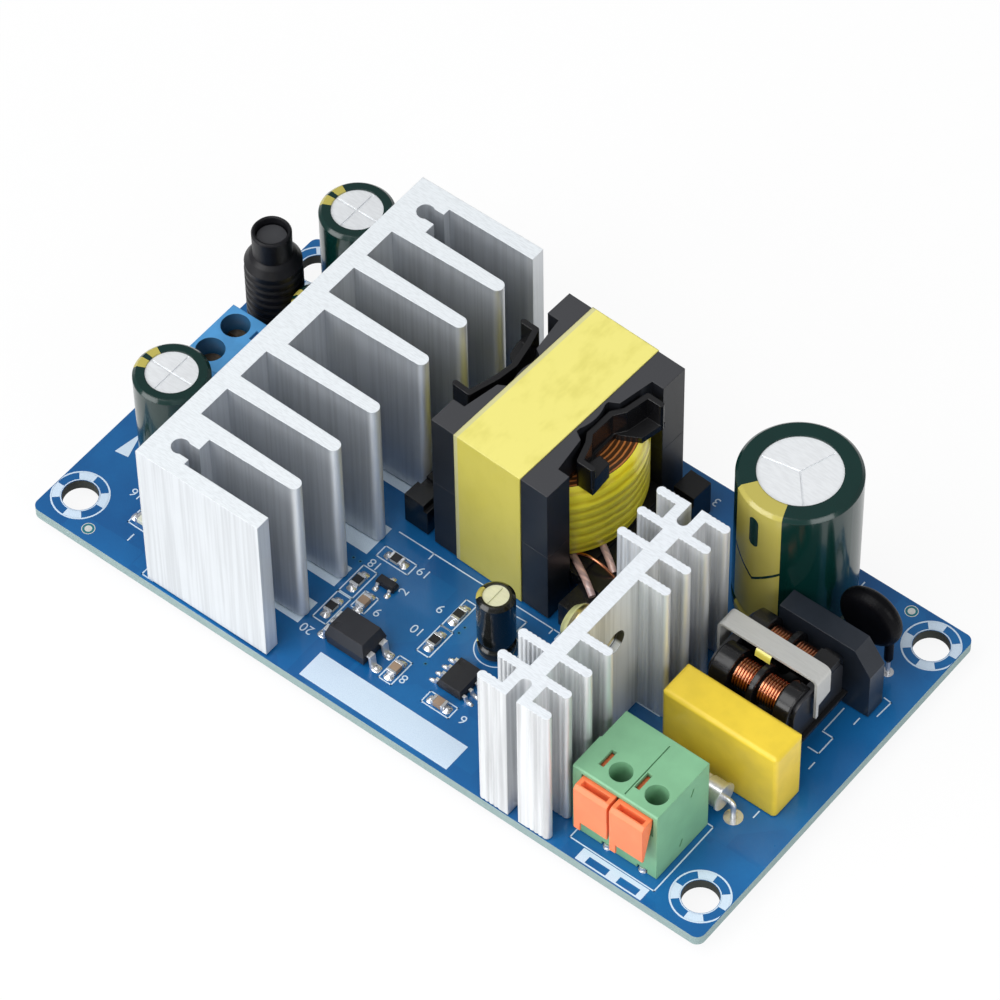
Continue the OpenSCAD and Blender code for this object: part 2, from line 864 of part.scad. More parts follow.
// The upper flange: round between the legs, with an open tray at each side's far corner.
module bobbin_flange_plan() {
  intersection() {
    circle(winding_r - 0.2);
    square([14, 2 * winding_r], center = true);
  }
  polygon([
    [7, -3], [8.2, -6.2], [10.8, -6.2], [10.5, -2.7], [8.8, -2.5], [7.4, -1.7], [7.2, 2.4],
    [7.65, 2.5], [10.2, 4], [10.8, 7.8], [7, 7.8],
  ]);
  polygon([
    [-6.8, -2.9], [-9.2, -6.9], [-11.7, -6.8], [-11.7, -6], [-9.4, -5.9], [-8.2, -2.2],
    [-8, 1], [-9.75, 2.65], [-11.1, 3.65], [-11.6, 5.6], [-11.6, 6.9], [-6.8, 6.9],
  ]);
}

module transformer_bobbin() {
  flange_top = core_top - core_plate - 0.1;
  flange_bottom = flange_top - bobbin_flange;
  foot_z = 0.3 + core_plate + 0.1;
  post_room = core_post_r + 0.15;
  color([0.06, 0.06, 0.07])
    in_transformer()
      difference() {
        union() {
          translate([0, 0, flange_bottom])
            linear_extrude(bobbin_flange)
              bobbin_flange_plan();
          translate([0, 0, flange_bottom])
            linear_extrude(bobbin_rim_top - flange_bottom)
              bobbin_rim_plan();
          translate([0, 0, flange_bottom])
            linear_extrude(2.8)
              polygon([[8.3, -5.8], [10.8, -5.8], [10.5, -2.7], [8.8, -2.5]]);
          translate([0, 0, foot_z])
            cylinder(r = post_room + bobbin_tube, h = flange_top - foot_z);
          block(-10.6, 10.6, -8.85, 8.85, foot_z, foot_z + bobbin_flange);
          block(-14.5, -9.7, -8.85, 8.85, 4, 5.2);
          block(9.7, 14.2, -8.85, 8.85, 4, 5.2);
          block(-14.6, -10.8, -13, 13, 0.3, 4.6);
          block(10.9, 14.2, -13, 13, 0.3, 4.6);
          block(10.9, 14.2, 9.6, 13, 4.6, 6.2);
          block(-14.6, -11.4, -13, -10.4, 4.6, 5.6);
        }
        translate([0, 0, 3])
          cylinder(r = post_room, h = flange_top);
        for (p = transformer_pins_local)
          translate([p[0], p[1], 0])
            cylinder(r = transformer_pin_r, h = 3);
      }
}

// The taped windings: a barrel round the bobbin's tube, between its two flanges.
module transformer_windings() {
  inner_r = core_post_r + 0.15 + bobbin_tube;
  low = 0.3 + core_plate + 0.1 + bobbin_flange;
  high = core_top - core_plate - 0.1 - bobbin_flange;
  color([0.85, 0.78, 0.12])
    in_transformer()
      rotate_extrude()
        polygon([
          [inner_r, low], [winding_r - 1.6, low], [winding_r - 0.5, low + 1.1], [winding_r, 9],
          [winding_r, 16.5], [winding_r - 0.4, high - 1.1], [winding_r - 1, high], [inner_r, high],
        ]);
}

module transformer_tape() {
  end = core_length / 2;
  t = tape_thickness;
  color([0.86, 0.82, 0.2])
    in_transformer()
      translate([tape_middle, 0, 0])
        difference() {
          translate([-tape_width / 2, -end - t, 0.3 - t])
            cube([tape_width, core_length + 2 * t, core_top - 0.3 + 2 * t]);
          translate([-tape_width / 2 - eps, -end, 0.3])
            cube([tape_width + 2 * eps, core_length, core_top - 0.3]);
        }
}

module transformer_pins() {
  color([0.78, 0.78, 0.8])
    tails(transformer_pin_spots, 3);
}

// Two sleeved winding ends and one bare one, from under the coil down to the rail.
module transformer_wires() {
  color([0.8, 0.55, 0.4]) {
    rod([65.1, 29.9, 8.6], [66.8, 29.6, 4.95], 0.5);
    rod([66.2, 33.2, 8.9], [67.4, 33.4, 5.5], 0.5);
    rod([66, 31, 8.9], [67.9, 36.4, 5.4], 0.2);
  }
}

// Outline of a can's outside in radius and height, with the rolled groove near its foot.
function can_outline(r, top, edge) = [
  [r - edge, standoff],
  [r, standoff + edge],
  [r, standoff + 1.6],
  [r - 0.35, standoff + 2],
  [r - 0.35, standoff + 2.6],
  [r, standoff + 3],
  [r, top - edge],
  [r - edge, top],
];

// The bare can: a solid stand-in for can and wound element, open at the foot for the bung.
// The vent is a star of shallow grooves with the given number of arms, the first at turn degrees.
module can(c, arms, turn = 90) {
  r = c[2] - sleeve_wall;
  top = c[3] - sleeve_wall;
  bung_r = r * 0.8;
  translate([c[0], c[1], 0])
    difference() {
      rotate_extrude()
        polygon(concat(
          [[0, standoff + 2.2], [bung_r, standoff + 2.2], [bung_r, standoff]],
          can_outline(r, top, 0.4),
          [[0, top]]
        ));
      for (i = [0:arms - 1])
        rotate(turn + i * 360 / arms)
          translate([0, -0.12, top - 0.15])
            cube([r * 0.67, 0.24, 1]);
    }
}

// The printed sleeve: it covers the side and laps over both edges.
module sleeve(c) {
  r = c[2];
  top = c[3];
  lap = r * 0.68;
  inner_r = r - sleeve_wall;
  inner_top = top - sleeve_wall;
  inner = can_outline(inner_r, inner_top, 0.4);
  outer = can_outline(r, top, 0.45);
  n = len(inner);
  translate([c[0], c[1], 0])
    rotate_extrude()
      polygon(concat(
        [for (i = [1:n - 1]) outer[i]],
        [[lap, top], [lap, inner_top]],
        [for (i = [1:n - 1]) inner[n - i]]
      ));
}

// The rubber bung in a can's foot, bored for the two leads.
module bung(c) {
  r = (c[2] - sleeve_wall) * 0.8;
  translate([c[0], c[1], 0])
    difference() {
      translate([0, 0, standoff])
        cylinder(r = r, h = 2.2);
      for (side = [-0.5, 0.5])
        translate([0, side * c[4], 0])
          cylinder(r = c[5], h = standoff + 1.6);
    }
}

module input_capacitor_can() {
  color([0.82, 0.83, 0.84])
    can(input_can, 3, input_vent_turn);
}

module input_capacitor_sleeve() {
  color([0.05, 0.2, 0.16])
    sleeve(input_can);
}

module output_capacitor_cans() {
  color([0.82, 0.83, 0.84]) {
    can(output_can_a, 4);
    can(output_can_b, 4);
    can(filter_can, 4);
  }
}

module output_capacitor_sleeves() {
  color([0.05, 0.2, 0.16]) {
    sleeve(output_can_a);
    sleeve(output_can_b);
    sleeve(filter_can);
  }
}

module supply_capacitor_can() {
  color([0.8, 0.8, 0.72])
    can(supply_can, 2);
}

module supply_capacitor_sleeve() {
  color([0.07, 0.07, 0.07])
    sleeve(supply_can);
}

// A thick disc with a domed rim.
module dipped_capacitor() {
  half = dipped_thickness / 2;
  color([0.75, 0.78, 0.6])
    translate([dipped_x, dipped_y, dipped_z])
      rotate([0, 90, 0])
        rotate_extrude()
          polygon([
            [0, -half], [dipped_r * 0.4, -half], [dipped_r * 0.75, -half * 0.8],
            [dipped_r * 0.95, -half * 0.35], [dipped_r, 0], [dipped_r * 0.95, half * 0.35],
            [dipped_r * 0.75, half * 0.8], [dipped_r * 0.4, half], [0, half],
          ]);
}

module capacitor_bungs() {
  color([0.12, 0.12, 0.12])
    for (c = all_cans)
      bung(c);
}

// Every plain tinned lead of a capacitor, bridge or thermistor.
module wire_leads() {
  color([0.75, 0.75, 0.77]) {
    for (c = all_cans)
      for (side = [-0.5, 0.5])
        tails([[c[0], c[1] + side * c[4], c[5]]], standoff + 1.6);
    tails(film_spots, standoff + 1);
    tails(bridge_spots, standoff + 1);
    tails(thermistor_spots, thermistor_coat_z + thermistor_sunk);
    tails(dipped_spots, dipped_lead_top);
  }
}

// The shrunk tube: ribbed where it grips the coil, with a narrow open collar on top.
module inductor_sleeve() {
  wall = 0.45;
  ribs = 9;
  pitch = 1.35;
  foot = 1.2;
  shoulder = foot + ribs * pitch + 1.6;
  outside = [
    for (i = [0:ribs - 1])
      for (p = [[inductor_r - 0.22, 0], [inductor_r, 0.4], [inductor_r, 0.95]])
        [p[0], foot + i * pitch + p[1]],
  ];
  color([0.05, 0.05, 0.06])
    translate([inductor_x, inductor_y, 0])
      rotate_extrude()
        polygon(concat(
          [[inductor_r - wall, foot]],
          outside,
          [
            [inductor_r - 0.2, foot + ribs * pitch],
            [inductor_r - 0.05, shoulder - 0.6],
            [collar_r + 0.5, shoulder + 0.5],
            [collar_r, shoulder + 1],
            [collar_r + 0.05, inductor_top - 0.3],
            [collar_r - 0.15, inductor_top],
            [collar_r - wall, inductor_top - 0.1],
            [collar_r - wall, shoulder + 0.6],
            [inductor_r - wall, shoulder - 0.6],
          ]
        ));
}

module inductor_core() {
  color([0.12, 0.12, 0.13])
    translate([inductor_x, inductor_y, 1.2])
      cylinder(r = collar_r - 0.6, h = inductor_top - 2.4);
}

// The coil on the rod, drawn as one tube of wire with its two ends.
module inductor_winding() {
  inner = collar_r - 0.55;
  outer = inductor_r - 0.45;
  color([0.72, 0.36, 0.16]) {
    translate([inductor_x, inductor_y, 2])
      difference() {
        cylinder(r = outer, h = 12.2);
        translate([0, 0, -eps])
          cylinder(r = inner, h = 12.2 + 2 * eps);
      }
    tails(inductor_lead_spots, 2);
  }
}

module output_terminal_housing() {
  x0 = output_terminal_front;
  x1 = output_terminal_back;
  top = output_terminal_top;
  y0 = output_terminal_y - output_terminal_width / 2;
  y1 = output_terminal_y + output_terminal_width / 2;
  room = clamp_width / 2 + clamp_room;
  color([0.03, 0.3, 0.62])
    difference() {
      front_profile([
        [x0, 0.1], [x1, 0.1], [x1, top - 0.7], [x1 - 0.5, top],
        [x0 + 0.7, top], [x0, top - 2.6],
      ], y0, y1);
      for (y = terminal_ys) {
        translate([clamp_mid_x, y, terminal_ledge_z - eps])
          cylinder(r = terminal_screw_r + terminal_screw_play, h = top);
        block(clamp_mid_x - clamp_length / 2 - clamp_room, terminal_pin_x + 0.7,
          y - room, y + room, -eps, terminal_ledge_z);
        block(x0 - eps, clamp_mid_x, y - 1.55, y + 1.55, clamp_floor_z + clamp_floor, terminal_bar_z + 1);
      }
      block(x1 - 1.2, x1 + eps, terminal_ys[1] - 0.6, terminal_ys[1] + 1, top - 1.2, top + eps);
    }
}

// Fixed contacts: a bar through each clamp and the pin it ends in.
module output_terminal_contacts() {
  color([0.75, 0.75, 0.72])
    for (y = terminal_ys) {
      block(clamp_mid_x - clamp_length / 2 - 0.1, terminal_pin_x + 0.5, y - 1.1, y + 1.1,
        terminal_bar_z, terminal_bar_z + terminal_bar);
      translate([terminal_pin_x, y, tail_z])
        cylinder(r = terminal_pin_r, h = terminal_bar_z - tail_z + 0.1);
    }
}

// One captive clamping screw with a slotted head.
module terminal_screw(y) {
  color([0.75, 0.76, 0.78])
    translate([clamp_mid_x, y, 0])
      difference() {
        union() {
          translate([0, 0, terminal_ledge_z + 0.05])
            cylinder(r = terminal_screw_r, h = terminal_head - 0.15);
          translate([0, 0, terminal_ledge_z + terminal_head - 0.1])
            cylinder(r1 = terminal_screw_r, r2 = terminal_screw_r - 0.15, h = 0.15);
          translate([0, 0, terminal_bar_z + terminal_bar + 0.15])
            cylinder(r = terminal_shank_r, h = terminal_ledge_z - terminal_bar_z - terminal_bar);
        }
        translate([-terminal_screw_r - eps, -0.25, terminal_ledge_z + terminal_head - 0.35])
          cube([2 * terminal_screw_r + 2 * eps, 0.5, 2]);
      }
}

// One rising clamp: a ring of strip, open along X, threaded on its screw.
module terminal_clamp(y) {
  x0 = clamp_mid_x - clamp_length / 2;
  x1 = clamp_mid_x + clamp_length / 2;
  half = clamp_width / 2;
  color([0.78, 0.7, 0.45])
    difference() {
      block(x0, x1, y - half, y + half, clamp_floor_z, clamp_roof_z + clamp_roof);
      block(x0 - eps, x1 + eps, y - half + 0.45, y + half - 0.45, clamp_floor_z + clamp_floor, clamp_roof_z);
      translate([clamp_mid_x, y, clamp_roof_z - eps])
        cylinder(r = terminal_shank_r + shank_fit, h = clamp_roof + 2 * eps);
    }
}

module output_terminal_screw_plus() {
  terminal_screw(terminal_ys[1]);
}

module output_terminal_screw_minus() {
  terminal_screw(terminal_ys[0]);
}

module output_terminal_clamp_plus() {
  terminal_clamp(terminal_ys[1]);
}

module output_terminal_clamp_minus() {
  terminal_clamp(terminal_ys[0]);
}

module input_terminal_housing() {
  x0 = input_terminal_x0;
  x1 = input_terminal_x1;
  y0 = input_terminal_y0;
  y1 = input_terminal_y1;
  top = input_terminal_top;
  pocket_top = lever_top + 0.3;
  mark = 0.16;
  color([0.35, 0.66, 0.45])
    difference() {
      side_profile([
        [y0, 0.1], [y1, 0.1], [y1, top], [y0 + 0.2, top], [y0, top - 0.2],
      ], x0, x1);
      block(x0 - eps, x0 + 0.2, 9.2, y1 + eps, -eps, top + eps);
      for (x = wire_hole_xs) {
        left = x - lever_from_hole;
        right = left + lever_width;
        arm = x - lever_arm_x;
        arm_half = lever_arm_width / 2 + lever_play;
        translate([x, wire_hole_y, wire_hole_floor])
          cylinder(r = wire_hole_r, h = wire_hole_depth + eps);
        side_profile([
          [0, pocket_top], [lever_back_top_y + 0.75, pocket_top], [y0 + lever_play, 8.6], [0, 8.6],
        ], left - lever_play, right + lever_play);
        translate([left + lever_neck_inset - lever_play, lever_pivot_y, lever_pivot_z])
          rotate([0, 90, 0])
            cylinder(r = lever_pivot_r + lever_pivot_fit, h = lever_width - 2 * (lever_neck_inset - lever_play));
        block(left + lever_neck_inset - lever_play, right - lever_neck_inset + lever_play, 0, lever_pivot_y,
          lever_pivot_z - lever_neck / 2 - 0.15, lever_pivot_z + lever_neck / 2 + 0.15);
        block(arm - arm_half, arm + arm_half, 3.5, 10.2, lever_arm_z - 1.2, pocket_top);
        block(x - 2.88, x - 2.12, 5.82, 8.5, lever_top, top + eps);
        block(x - 1.8, x + 1.8, y0 + 0.3, 11.5, -eps, wire_hole_floor + 0.01);
        block(x - 0.8, x + 0.8, 0, y0 + 1, -eps, 0.8);
      }
      block(92.3 - mark / 2, 92.3 + mark / 2, 4.3, 13.2, top - 0.25, top + eps);
      for (s = [[10.8, 10.5], [8.7, 2.3]])
        translate([x1 - 0.3, s[0], s[1]])
          rotate([-24, 0, 0])
            cube([1, 0.35, 1.3], center = true);
    }
}

// Fixed contacts: a spring leaf folded over a floor strip, with the pin under its front.
module input_terminal_contacts() {
  color([0.75, 0.72, 0.6])
    for (x = wire_hole_xs) {
      side_profile([
        [4.3, 0.5], [11.2, 0.5], [11.2, 2.9], [10.8, 2.9], [10.8, 0.9], [5.6, 0.9],
        [8.2, 2.6], [7.9, 2.9], [4.9, 0.95], [4.3, 0.95],
      ], x - 1.4, x + 1.4);
      translate([x, input_pin_y, tail_z])
        cylinder(r = input_pin_r, h = 0.7 - tail_z);
    }
}

// One lever at rest: a wedge in front of the housing, hung on a round bar in the housing's
// socket, with an arm under the test slot and a lug at one corner.
module terminal_lever(hole_x) {
  left = hole_x - lever_from_hole;
  right = left + lever_width;
  arm = hole_x - lever_arm_x;
  arm_half = lever_arm_width / 2;
  neck_x0 = left + lever_neck_inset;
  neck_x1 = right - lever_neck_inset;
  color([1, 0.42, 0.2])
    difference() {
      union() {
        side_profile([
          [lever_front_y + 0.1, lever_bottom], [lever_back_low_y, lever_bottom],
          [lever_back_top_y, lever_top], [lever_front_y + 0.5, lever_top],
          [lever_front_y, lever_top - 0.5],
        ], left, right);
        block(left, left + 0.9, lever_front_y + 0.1, lever_back_low_y, 3.3, lever_bottom);
        block(neck_x0, neck_x1, lever_front_y + 0.2, lever_pivot_y, lever_pivot_z - lever_neck / 2,
          lever_pivot_z + lever_neck / 2);
        translate([neck_x0, lever_pivot_y, lever_pivot_z])
          rotate([0, 90, 0])
            cylinder(r = lever_pivot_r, h = neck_x1 - neck_x0);
        block(arm - arm_half, arm + arm_half, 3.2, lever_arm_y, lever_arm_z, lever_top);
      }
      block(left + 0.6, right - 0.55, 2.6, 3.4, lever_top - 1.6, lever_top + eps);
    }
}

module input_terminal_lever_line() {
  terminal_lever(wire_hole_xs[0]);
}

module input_terminal_lever_neutral() {
  terminal_lever(wire_hole_xs[1]);
}

// A box whose every edge is rounded: three extrusions in common, then the foot cut square.
module film_capacitor_case() {
  x0 = film_x;
  x1 = film_x + film_length;
  y0 = film_y;
  y1 = film_y + film_thickness;
  r = film_edge_r;
  color([0.86, 0.74, 0.12])
    difference() {
      intersection() {
        round_block(x0, x1, y0, y1, standoff, film_top, r);
        translate([x0, 0, 0])
          rotate([90, 0, 90])
            linear_extrude(film_length)
              round_plan(y0, y1, standoff - 2, film_top, r);
        translate([0, y1, 0])
          rotate([90, 0, 0])
            linear_extrude(film_thickness)
              round_plan(x0, x1, standoff - 2, film_top, r);
      }
      for (s = film_spots)
        translate([s[0], s[1], 0])
          cylinder(r = s[2], h = standoff + 1);
    }
}

// One coil's spool round the X axis: two end flanges, one between the sections.
module choke_spool() {
  r = choke_flange_r;
  first = choke_sections[0];
  second = choke_sections[1];
  rotate([0, 90, 0])
    rotate_extrude()
      polygon([
        [1.6, choke_x0 + 0.5], [r - 0.25, choke_x0 + 0.5], [r, choke_x0 + 0.7],
        [r, first[0] - 0.15], [r - 0.1, first[0]], [choke_barrel_r, first[0]],
        [choke_barrel_r, first[1]], [r - 0.1, first[1]], [r, first[1] + 0.1],
        [r, second[0] - 0.1], [r - 0.1, second[0]], [choke_barrel_r, second[0]],
        [choke_barrel_r, second[1]], [r - 0.1, second[1]], [r, second[1] + 0.15],
        [r, choke_x1 - 0.6], [r - 0.15, choke_x1 - 0.45], [1.6, choke_x1 - 0.45],
      ]);
}

// Outline of the ferrite's end plates as seen along X, with round shoulders over the coils.
module choke_yoke(x0, x1, play) {
  half = choke_coil_span / 2;
  reach = choke_yoke_r + play;
  for (side = [-1, 1])
    translate([x0, choke_y + side * half, choke_axis_z])
      rotate([0, 90, 0])
        cylinder(r = reach, h = x1 - x0);
  block(x0, x1, choke_y - half, choke_y + half, choke_foot_z + 0.05 - play, choke_axis_z + reach);
  block(x0, x1, choke_y - half - reach, choke_y + half + reach, choke_foot_z + 0.05 - play, choke_axis_z);
}

// Two spools side by side on one foot. The ferrite's end plates sit in the spools' ends.
module choke_bobbins() {
  color([0.06, 0.06, 0.07])
    difference() {
      union() {
        for (side = [-0.5, 0.5])
          translate([0, choke_y + side * choke_coil_span, choke_axis_z])
            choke_spool();
        for (x = [choke_x0 + 0.8, choke_x1 - 2])
          block(x, x + 1.2, choke_y - 5.5, choke_y + 5.5, 4, choke_axis_z - 2.2);
        block(choke_x0 + 0.6, choke_x1 - 1.1, choke_y - 5.3, choke_y + 5.3, 0.2, 4.2);
        block(choke_x0 - 0.5, choke_x1 + 0.65, choke_y - 5.5, choke_y + 5.5, 4.2, choke_foot_z);
        block(choke_x1 - 2.55, choke_x1 + 0.25, choke_y + 2.1, choke_y + 3.9, choke_axis_z + 2, 12.9);
      }
      choke_yoke(choke_x0 - eps, choke_x0 + 1.25, 0.04);
      choke_yoke(choke_x1 - 1.25, choke_x1 + eps, 0.04);
      for (s = choke_spots)
        translate([s[0], s[1], 0])
          cylinder(r = s[2], h = 1.6);
    }
}

// The ferrite ring: a round leg through each coil and an end plate at both ends.
module choke_core() {
  half = choke_coil_span / 2;
  color([0.13, 0.13, 0.14])
    union() {
      for (side = [-1, 1])
        translate([choke_x0 + 0.1, choke_y + side * half, choke_axis_z])
          rotate([0, 90, 0])
            cylinder(r = 1.5, h = choke_x1 - choke_x0 - 0.2);
      choke_yoke(choke_x0, choke_x0 + 1.2, 0);
      choke_yoke(choke_x1 - 1.2, choke_x1, 0);
    }
}

module choke_windings() {
  color([0.72, 0.32, 0.12])
    for (side = [-0.5, 0.5])
      for (span = choke_sections)
        translate([span[0] + 0.05, choke_y + side * choke_coil_span, choke_axis_z])
          rotate([0, 90, 0])
            difference() {
              cylinder(r = choke_copper_r, h = span[1] - span[0] - 0.1);
              translate([0, 0, -eps])
                cylinder(r = choke_barrel_r, h = span[1] - span[0] + 2 * eps);
            }
}

// The steel strap that holds the ferrite: flat on top, folded down at both ends.
// Below each end plate only a narrow tongue is left at the front edge.
module choke_strap() {
  t = strap_thickness;
  y0 = choke_y - strap_half_width;
  y1 = choke_y + strap_half_width;
  color([0.72, 0.72, 0.72])
    difference() {
      translate([0, y1, 0])
        rotate([90, 0, 0])
          linear_extrude(y1 - y0)
            difference() {
              round_plan(strap_x0, strap_x1, 2, strap_top, strap_fold_r);
              round_plan(strap_x0 + t, strap_x1 - t, 1, strap_top - t, strap_fold_r - t);
            }
      side_profile([
        [y0 - eps, 0], [y1 + eps, 0], [y1 + eps, 9.5], [y0 + 0.5, 8.9], [y0 + 0.5, 6.6], [y0 - eps, 6.6],
      ], strap_x0 - eps, strap_x1 + eps);
    }
}

module choke_pins() {
  color([0.75, 0.75, 0.77])
    tails(choke_spots, 1.6);
}

module bridge_body() {
  color([0.08, 0.08, 0.09])
    difference() {
      front_profile([
        [bridge_x0, 0.3], [bridge_x1, 0.3], [bridge_x1, bridge_top - 3.6],
        [bridge_x1 - 2.5, bridge_top], [bridge_x0, bridge_top],
      ], bridge_y0, bridge_y0 + bridge_depth);
      for (s = bridge_spots)
        translate([s[0], s[1], 0])
          cylinder(r = s[2], h = standoff + 1);
    }
}

// A coated disc with a rounded rim, and the coating that runs down both leads.
module thermistor_disc() {
  half = thermistor_thickness / 2;
  rim = 1.3;
  tip = 0.5;
  coat_top = thermistor_z - thermistor_r / 2;
  color([0.07, 0.07, 0.07])
    difference() {
      union() {
        translate([thermistor_x, thermistor_y, thermistor_z])
          rotate([90, 0, 0])
            rotate_extrude()
              polygon(concat(
                [[0, -half]],
                [for (a = [-90:15:90]) [thermistor_r - rim + rim * cos(a), half * sin(a)]],
                [[0, half]]
              ));
        for (s = thermistor_spots)
          translate([s[0], s[1], thermistor_coat_z]) {
            cylinder(r1 = s[2] + 0.1, r2 = thermistor_coat_r, h = tip);
            translate([0, 0, tip])
              cylinder(r = thermistor_coat_r, h = coat_top - thermistor_coat_z - tip);
          }
      }
      for (s = thermistor_spots)
        translate([s[0], s[1], thermistor_coat_z - eps])
          cylinder(r = s[2], h = thermistor_sunk + eps);
    }
}

module fuse_tube() {
  color([0.75, 0.72, 0.6, 0.6])
    translate([fuse_x0 + fuse_cap, fuse_y, fuse_z])
      rotate([0, 90, 0])
        cylinder(r = fuse_r, h = fuse_x1 - fuse_x0 - 2 * fuse_cap);
}

// End caps with their leads: straight out, round a bend and down into the board.
module fuse_caps() {
  color([0.78, 0.78, 0.8]) {
    for (x = [fuse_x0, fuse_x1 - fuse_cap])
      translate([x, fuse_y, fuse_z])
        rotate([0, 90, 0])
          cylinder(r = fuse_r + 0.15, h = fuse_cap);
    for (x = [fuse_x0, fuse_x1 - fuse_flange])
      translate([x, fuse_y, fuse_z])
        rotate([0, 90, 0])
          cylinder(r = fuse_r + 0.35, h = fuse_flange);
    for (side = [0, 1]) {
      spot_x = fuse_spots[side][0];
      way = side * 2 - 1;
      cap_x = side == 0 ? fuse_x0 : fuse_x1;
      rod([cap_x, fuse_y, fuse_z], [spot_x - way * fuse_bend_r, fuse_y, fuse_z], fuse_lead_r);
      translate([spot_x - way * fuse_bend_r, fuse_y, fuse_z - fuse_bend_r])
        rotate([90, 0, side == 0 ? 180 : 0])
          rotate_extrude(angle = 90)
            translate([fuse_bend_r, 0])
              circle(fuse_lead_r);
      tails([fuse_spots[side]], fuse_z - fuse_bend_r);
    }
  }
}

// A moulded body with bevelled sides between z0 and z1.
module moulded_body(x0, x1, y0, y1, z0, z1, bevel) {
  intersection() {
    front_profile([
      [x0 + bevel / 2, z0], [x1 - bevel / 2, z0], [x1, (z0 + z1) / 2], [x1 - bevel, z1],
      [x0 + bevel, z1], [x0, (z0 + z1) / 2],
    ], y0, y1);
    side_profile([
      [y0 + bevel / 2, z0], [y1 - bevel / 2, z0], [y1, (z0 + z1) / 2], [y1 - bevel, z1],
      [y0 + bevel, z1], [y0, (z0 + z1) / 2],
    ], x0, x1);
  }
}

// A gull-wing lead that leaves a body at x0 and lands at x1.
module gull_lead(x0, x1, y, width, exit_z, thick) {
  way = sign(x1 - x0);
  knee = x0 + way * abs(x1 - x0) * 0.4;
  front_profile([
    [x0, exit_z], [knee, exit_z], [knee + way * 0.2, thick], [x1, thick], [x1, 0.02],
    [knee - way * 0.12, 0.02], [knee - way * 0.3, exit_z - thick], [x0, exit_z - thick],
  ], y - width / 2, y + width / 2);
}

module controller_body() {
  color([0.05, 0.05, 0.05])
    difference() {
      moulded_body(controller_x0, controller_x1, controller_y0, controller_y1, 0.15, controller_z, 0.25);
      translate([controller_x0 + 0.9, controller_y1 - 0.9, controller_z - 0.08])
        cylinder(r = 0.4, h = 1);
    }
}

module controller_leads() {
  mid = (controller_y0 + controller_y1) / 2;
  color([0.78, 0.78, 0.8])
    for (i = [0:3]) {
      y = mid + (i - 1.5) * 1.27;
      gull_lead(controller_x0, controller_x0 - 1.2, y, 0.42, 0.98, 0.22);
      gull_lead(controller_x1, controller_x1 + 1.2, y, 0.42, 0.98, 0.22);
    }
}

module optocoupler_body() {
  color([0.06, 0.06, 0.06])
    difference() {
      moulded_body(opto_x0, opto_x1, opto_y0, opto_y1, 0.35, opto_z, 0.5);
      translate([opto_x0 + 1.3, opto_y0 + 1.2, opto_z - 0.1])
        cylinder(r = 0.45, h = 1);
    }
}

module optocoupler_leads() {
  color([0.78, 0.78, 0.8])
    for (y = [7.35, 9.85]) {
      gull_lead(opto_x0, opto_x0 - 1.6, y, 1, 2.2, 0.25);
      gull_lead(opto_x1, opto_x1 + 1.6, y, 1, 2.2, 0.25);
    }
}

module reference_body() {
  color([0.05, 0.05, 0.05])
    moulded_body(reference_x0, reference_x1, reference_y0, reference_y1, 0.1, 1.1, 0.15);
}

module reference_leads() {
  mid = (reference_x0 + reference_x1) / 2;
  color([0.78, 0.78, 0.8]) {
    for (side = [-1, 1])
      translate([mid + side * 0.95, reference_y0, 0])
        rotate(-90)
          gull_lead(0, 0.6, 0, 0.42, 0.65, 0.15);
    translate([mid, reference_y1, 0])
      rotate(90)
        gull_lead(0, 0.6, 0, 0.42, 0.65, 0.15);
  }
}

// The body of a chip, or with part = 1 its two metal ends, along its longer side.
module chip(c, height, part) {
  long_x = c[2] > c[3];
  length = max(c[2], c[3]);
  width = min(c[2], c[3]);
  translate([c[0], c[1], 0])
    rotate(long_x ? 0 : 90) {
      if (part == 0)
        block(-length / 2 + chip_end, length / 2 - chip_end, -width / 2, width / 2, 0.04, height);
      if (part == 1)
        for (side = [-1, 1])
          translate([side * (length / 2 - chip_end / 2) - chip_end / 2, -width / 2, 0.02])
            cube([chip_end, width, height]);
    }
}

module chip_resistors() {
  color([0.07, 0.07, 0.08])
    for (c = chip_resistor_spots)
      chip(c, chip_height, 0);
}

module chip_capacitors() {
  color([0.6, 0.42, 0.22])
    for (c = chip_capacitor_spots)
      chip(c, chip_capacitor_height, 0);
}

module chip_ends() {
  color([0.78, 0.78, 0.8]) {
    for (c = chip_resistor_spots)
      chip(c, chip_height, 1);
    for (c = chip_capacitor_spots)
      chip(c, chip_capacitor_height, 1);
    chip(status_lamp, 0.75, 1);
  }
}

module status_lamp() {
  color([0.9, 0.9, 0.8])
    chip(status_lamp, 0.75, 0);
}

// Shifts everything from board positions to the part's own frame.
module in_frame() {
  translate([-middle_x, -middle_y, board_thickness])
    children();
}

in_frame() board();
in_frame() solder_joints();
in_frame() output_heatsink();
in_frame() primary_heatsink();
in_frame() heatsink_pins();
in_frame() output_rectifier_body();
in_frame() output_rectifier_tab();
in_frame() primary_switch_body();
in_frame() primary_switch_tab();
in_frame() tab_screws();
in_frame() transformer_core();
in_frame() transformer_bobbin();
in_frame() transformer_windings();
in_frame() transformer_tape();
in_frame() transformer_pins();
in_frame() transformer_wires();
in_frame() input_capacitor_can();
in_frame() input_capacitor_sleeve();
in_frame() output_capacitor_cans();
in_frame() output_capacitor_sleeves();
in_frame() supply_capacitor_can();
in_frame() supply_capacitor_sleeve();
in_frame() dipped_capacitor();
in_frame() capacitor_bungs();
in_frame() wire_leads();
in_frame() inductor_sleeve();
in_frame() inductor_core();
in_frame() inductor_winding();
in_frame() output_terminal_housing();
in_frame() output_terminal_contacts();
in_frame() output_terminal_screw_plus();
in_frame() output_terminal_screw_minus();
in_frame() output_terminal_clamp_plus();
in_frame() output_terminal_clamp_minus();
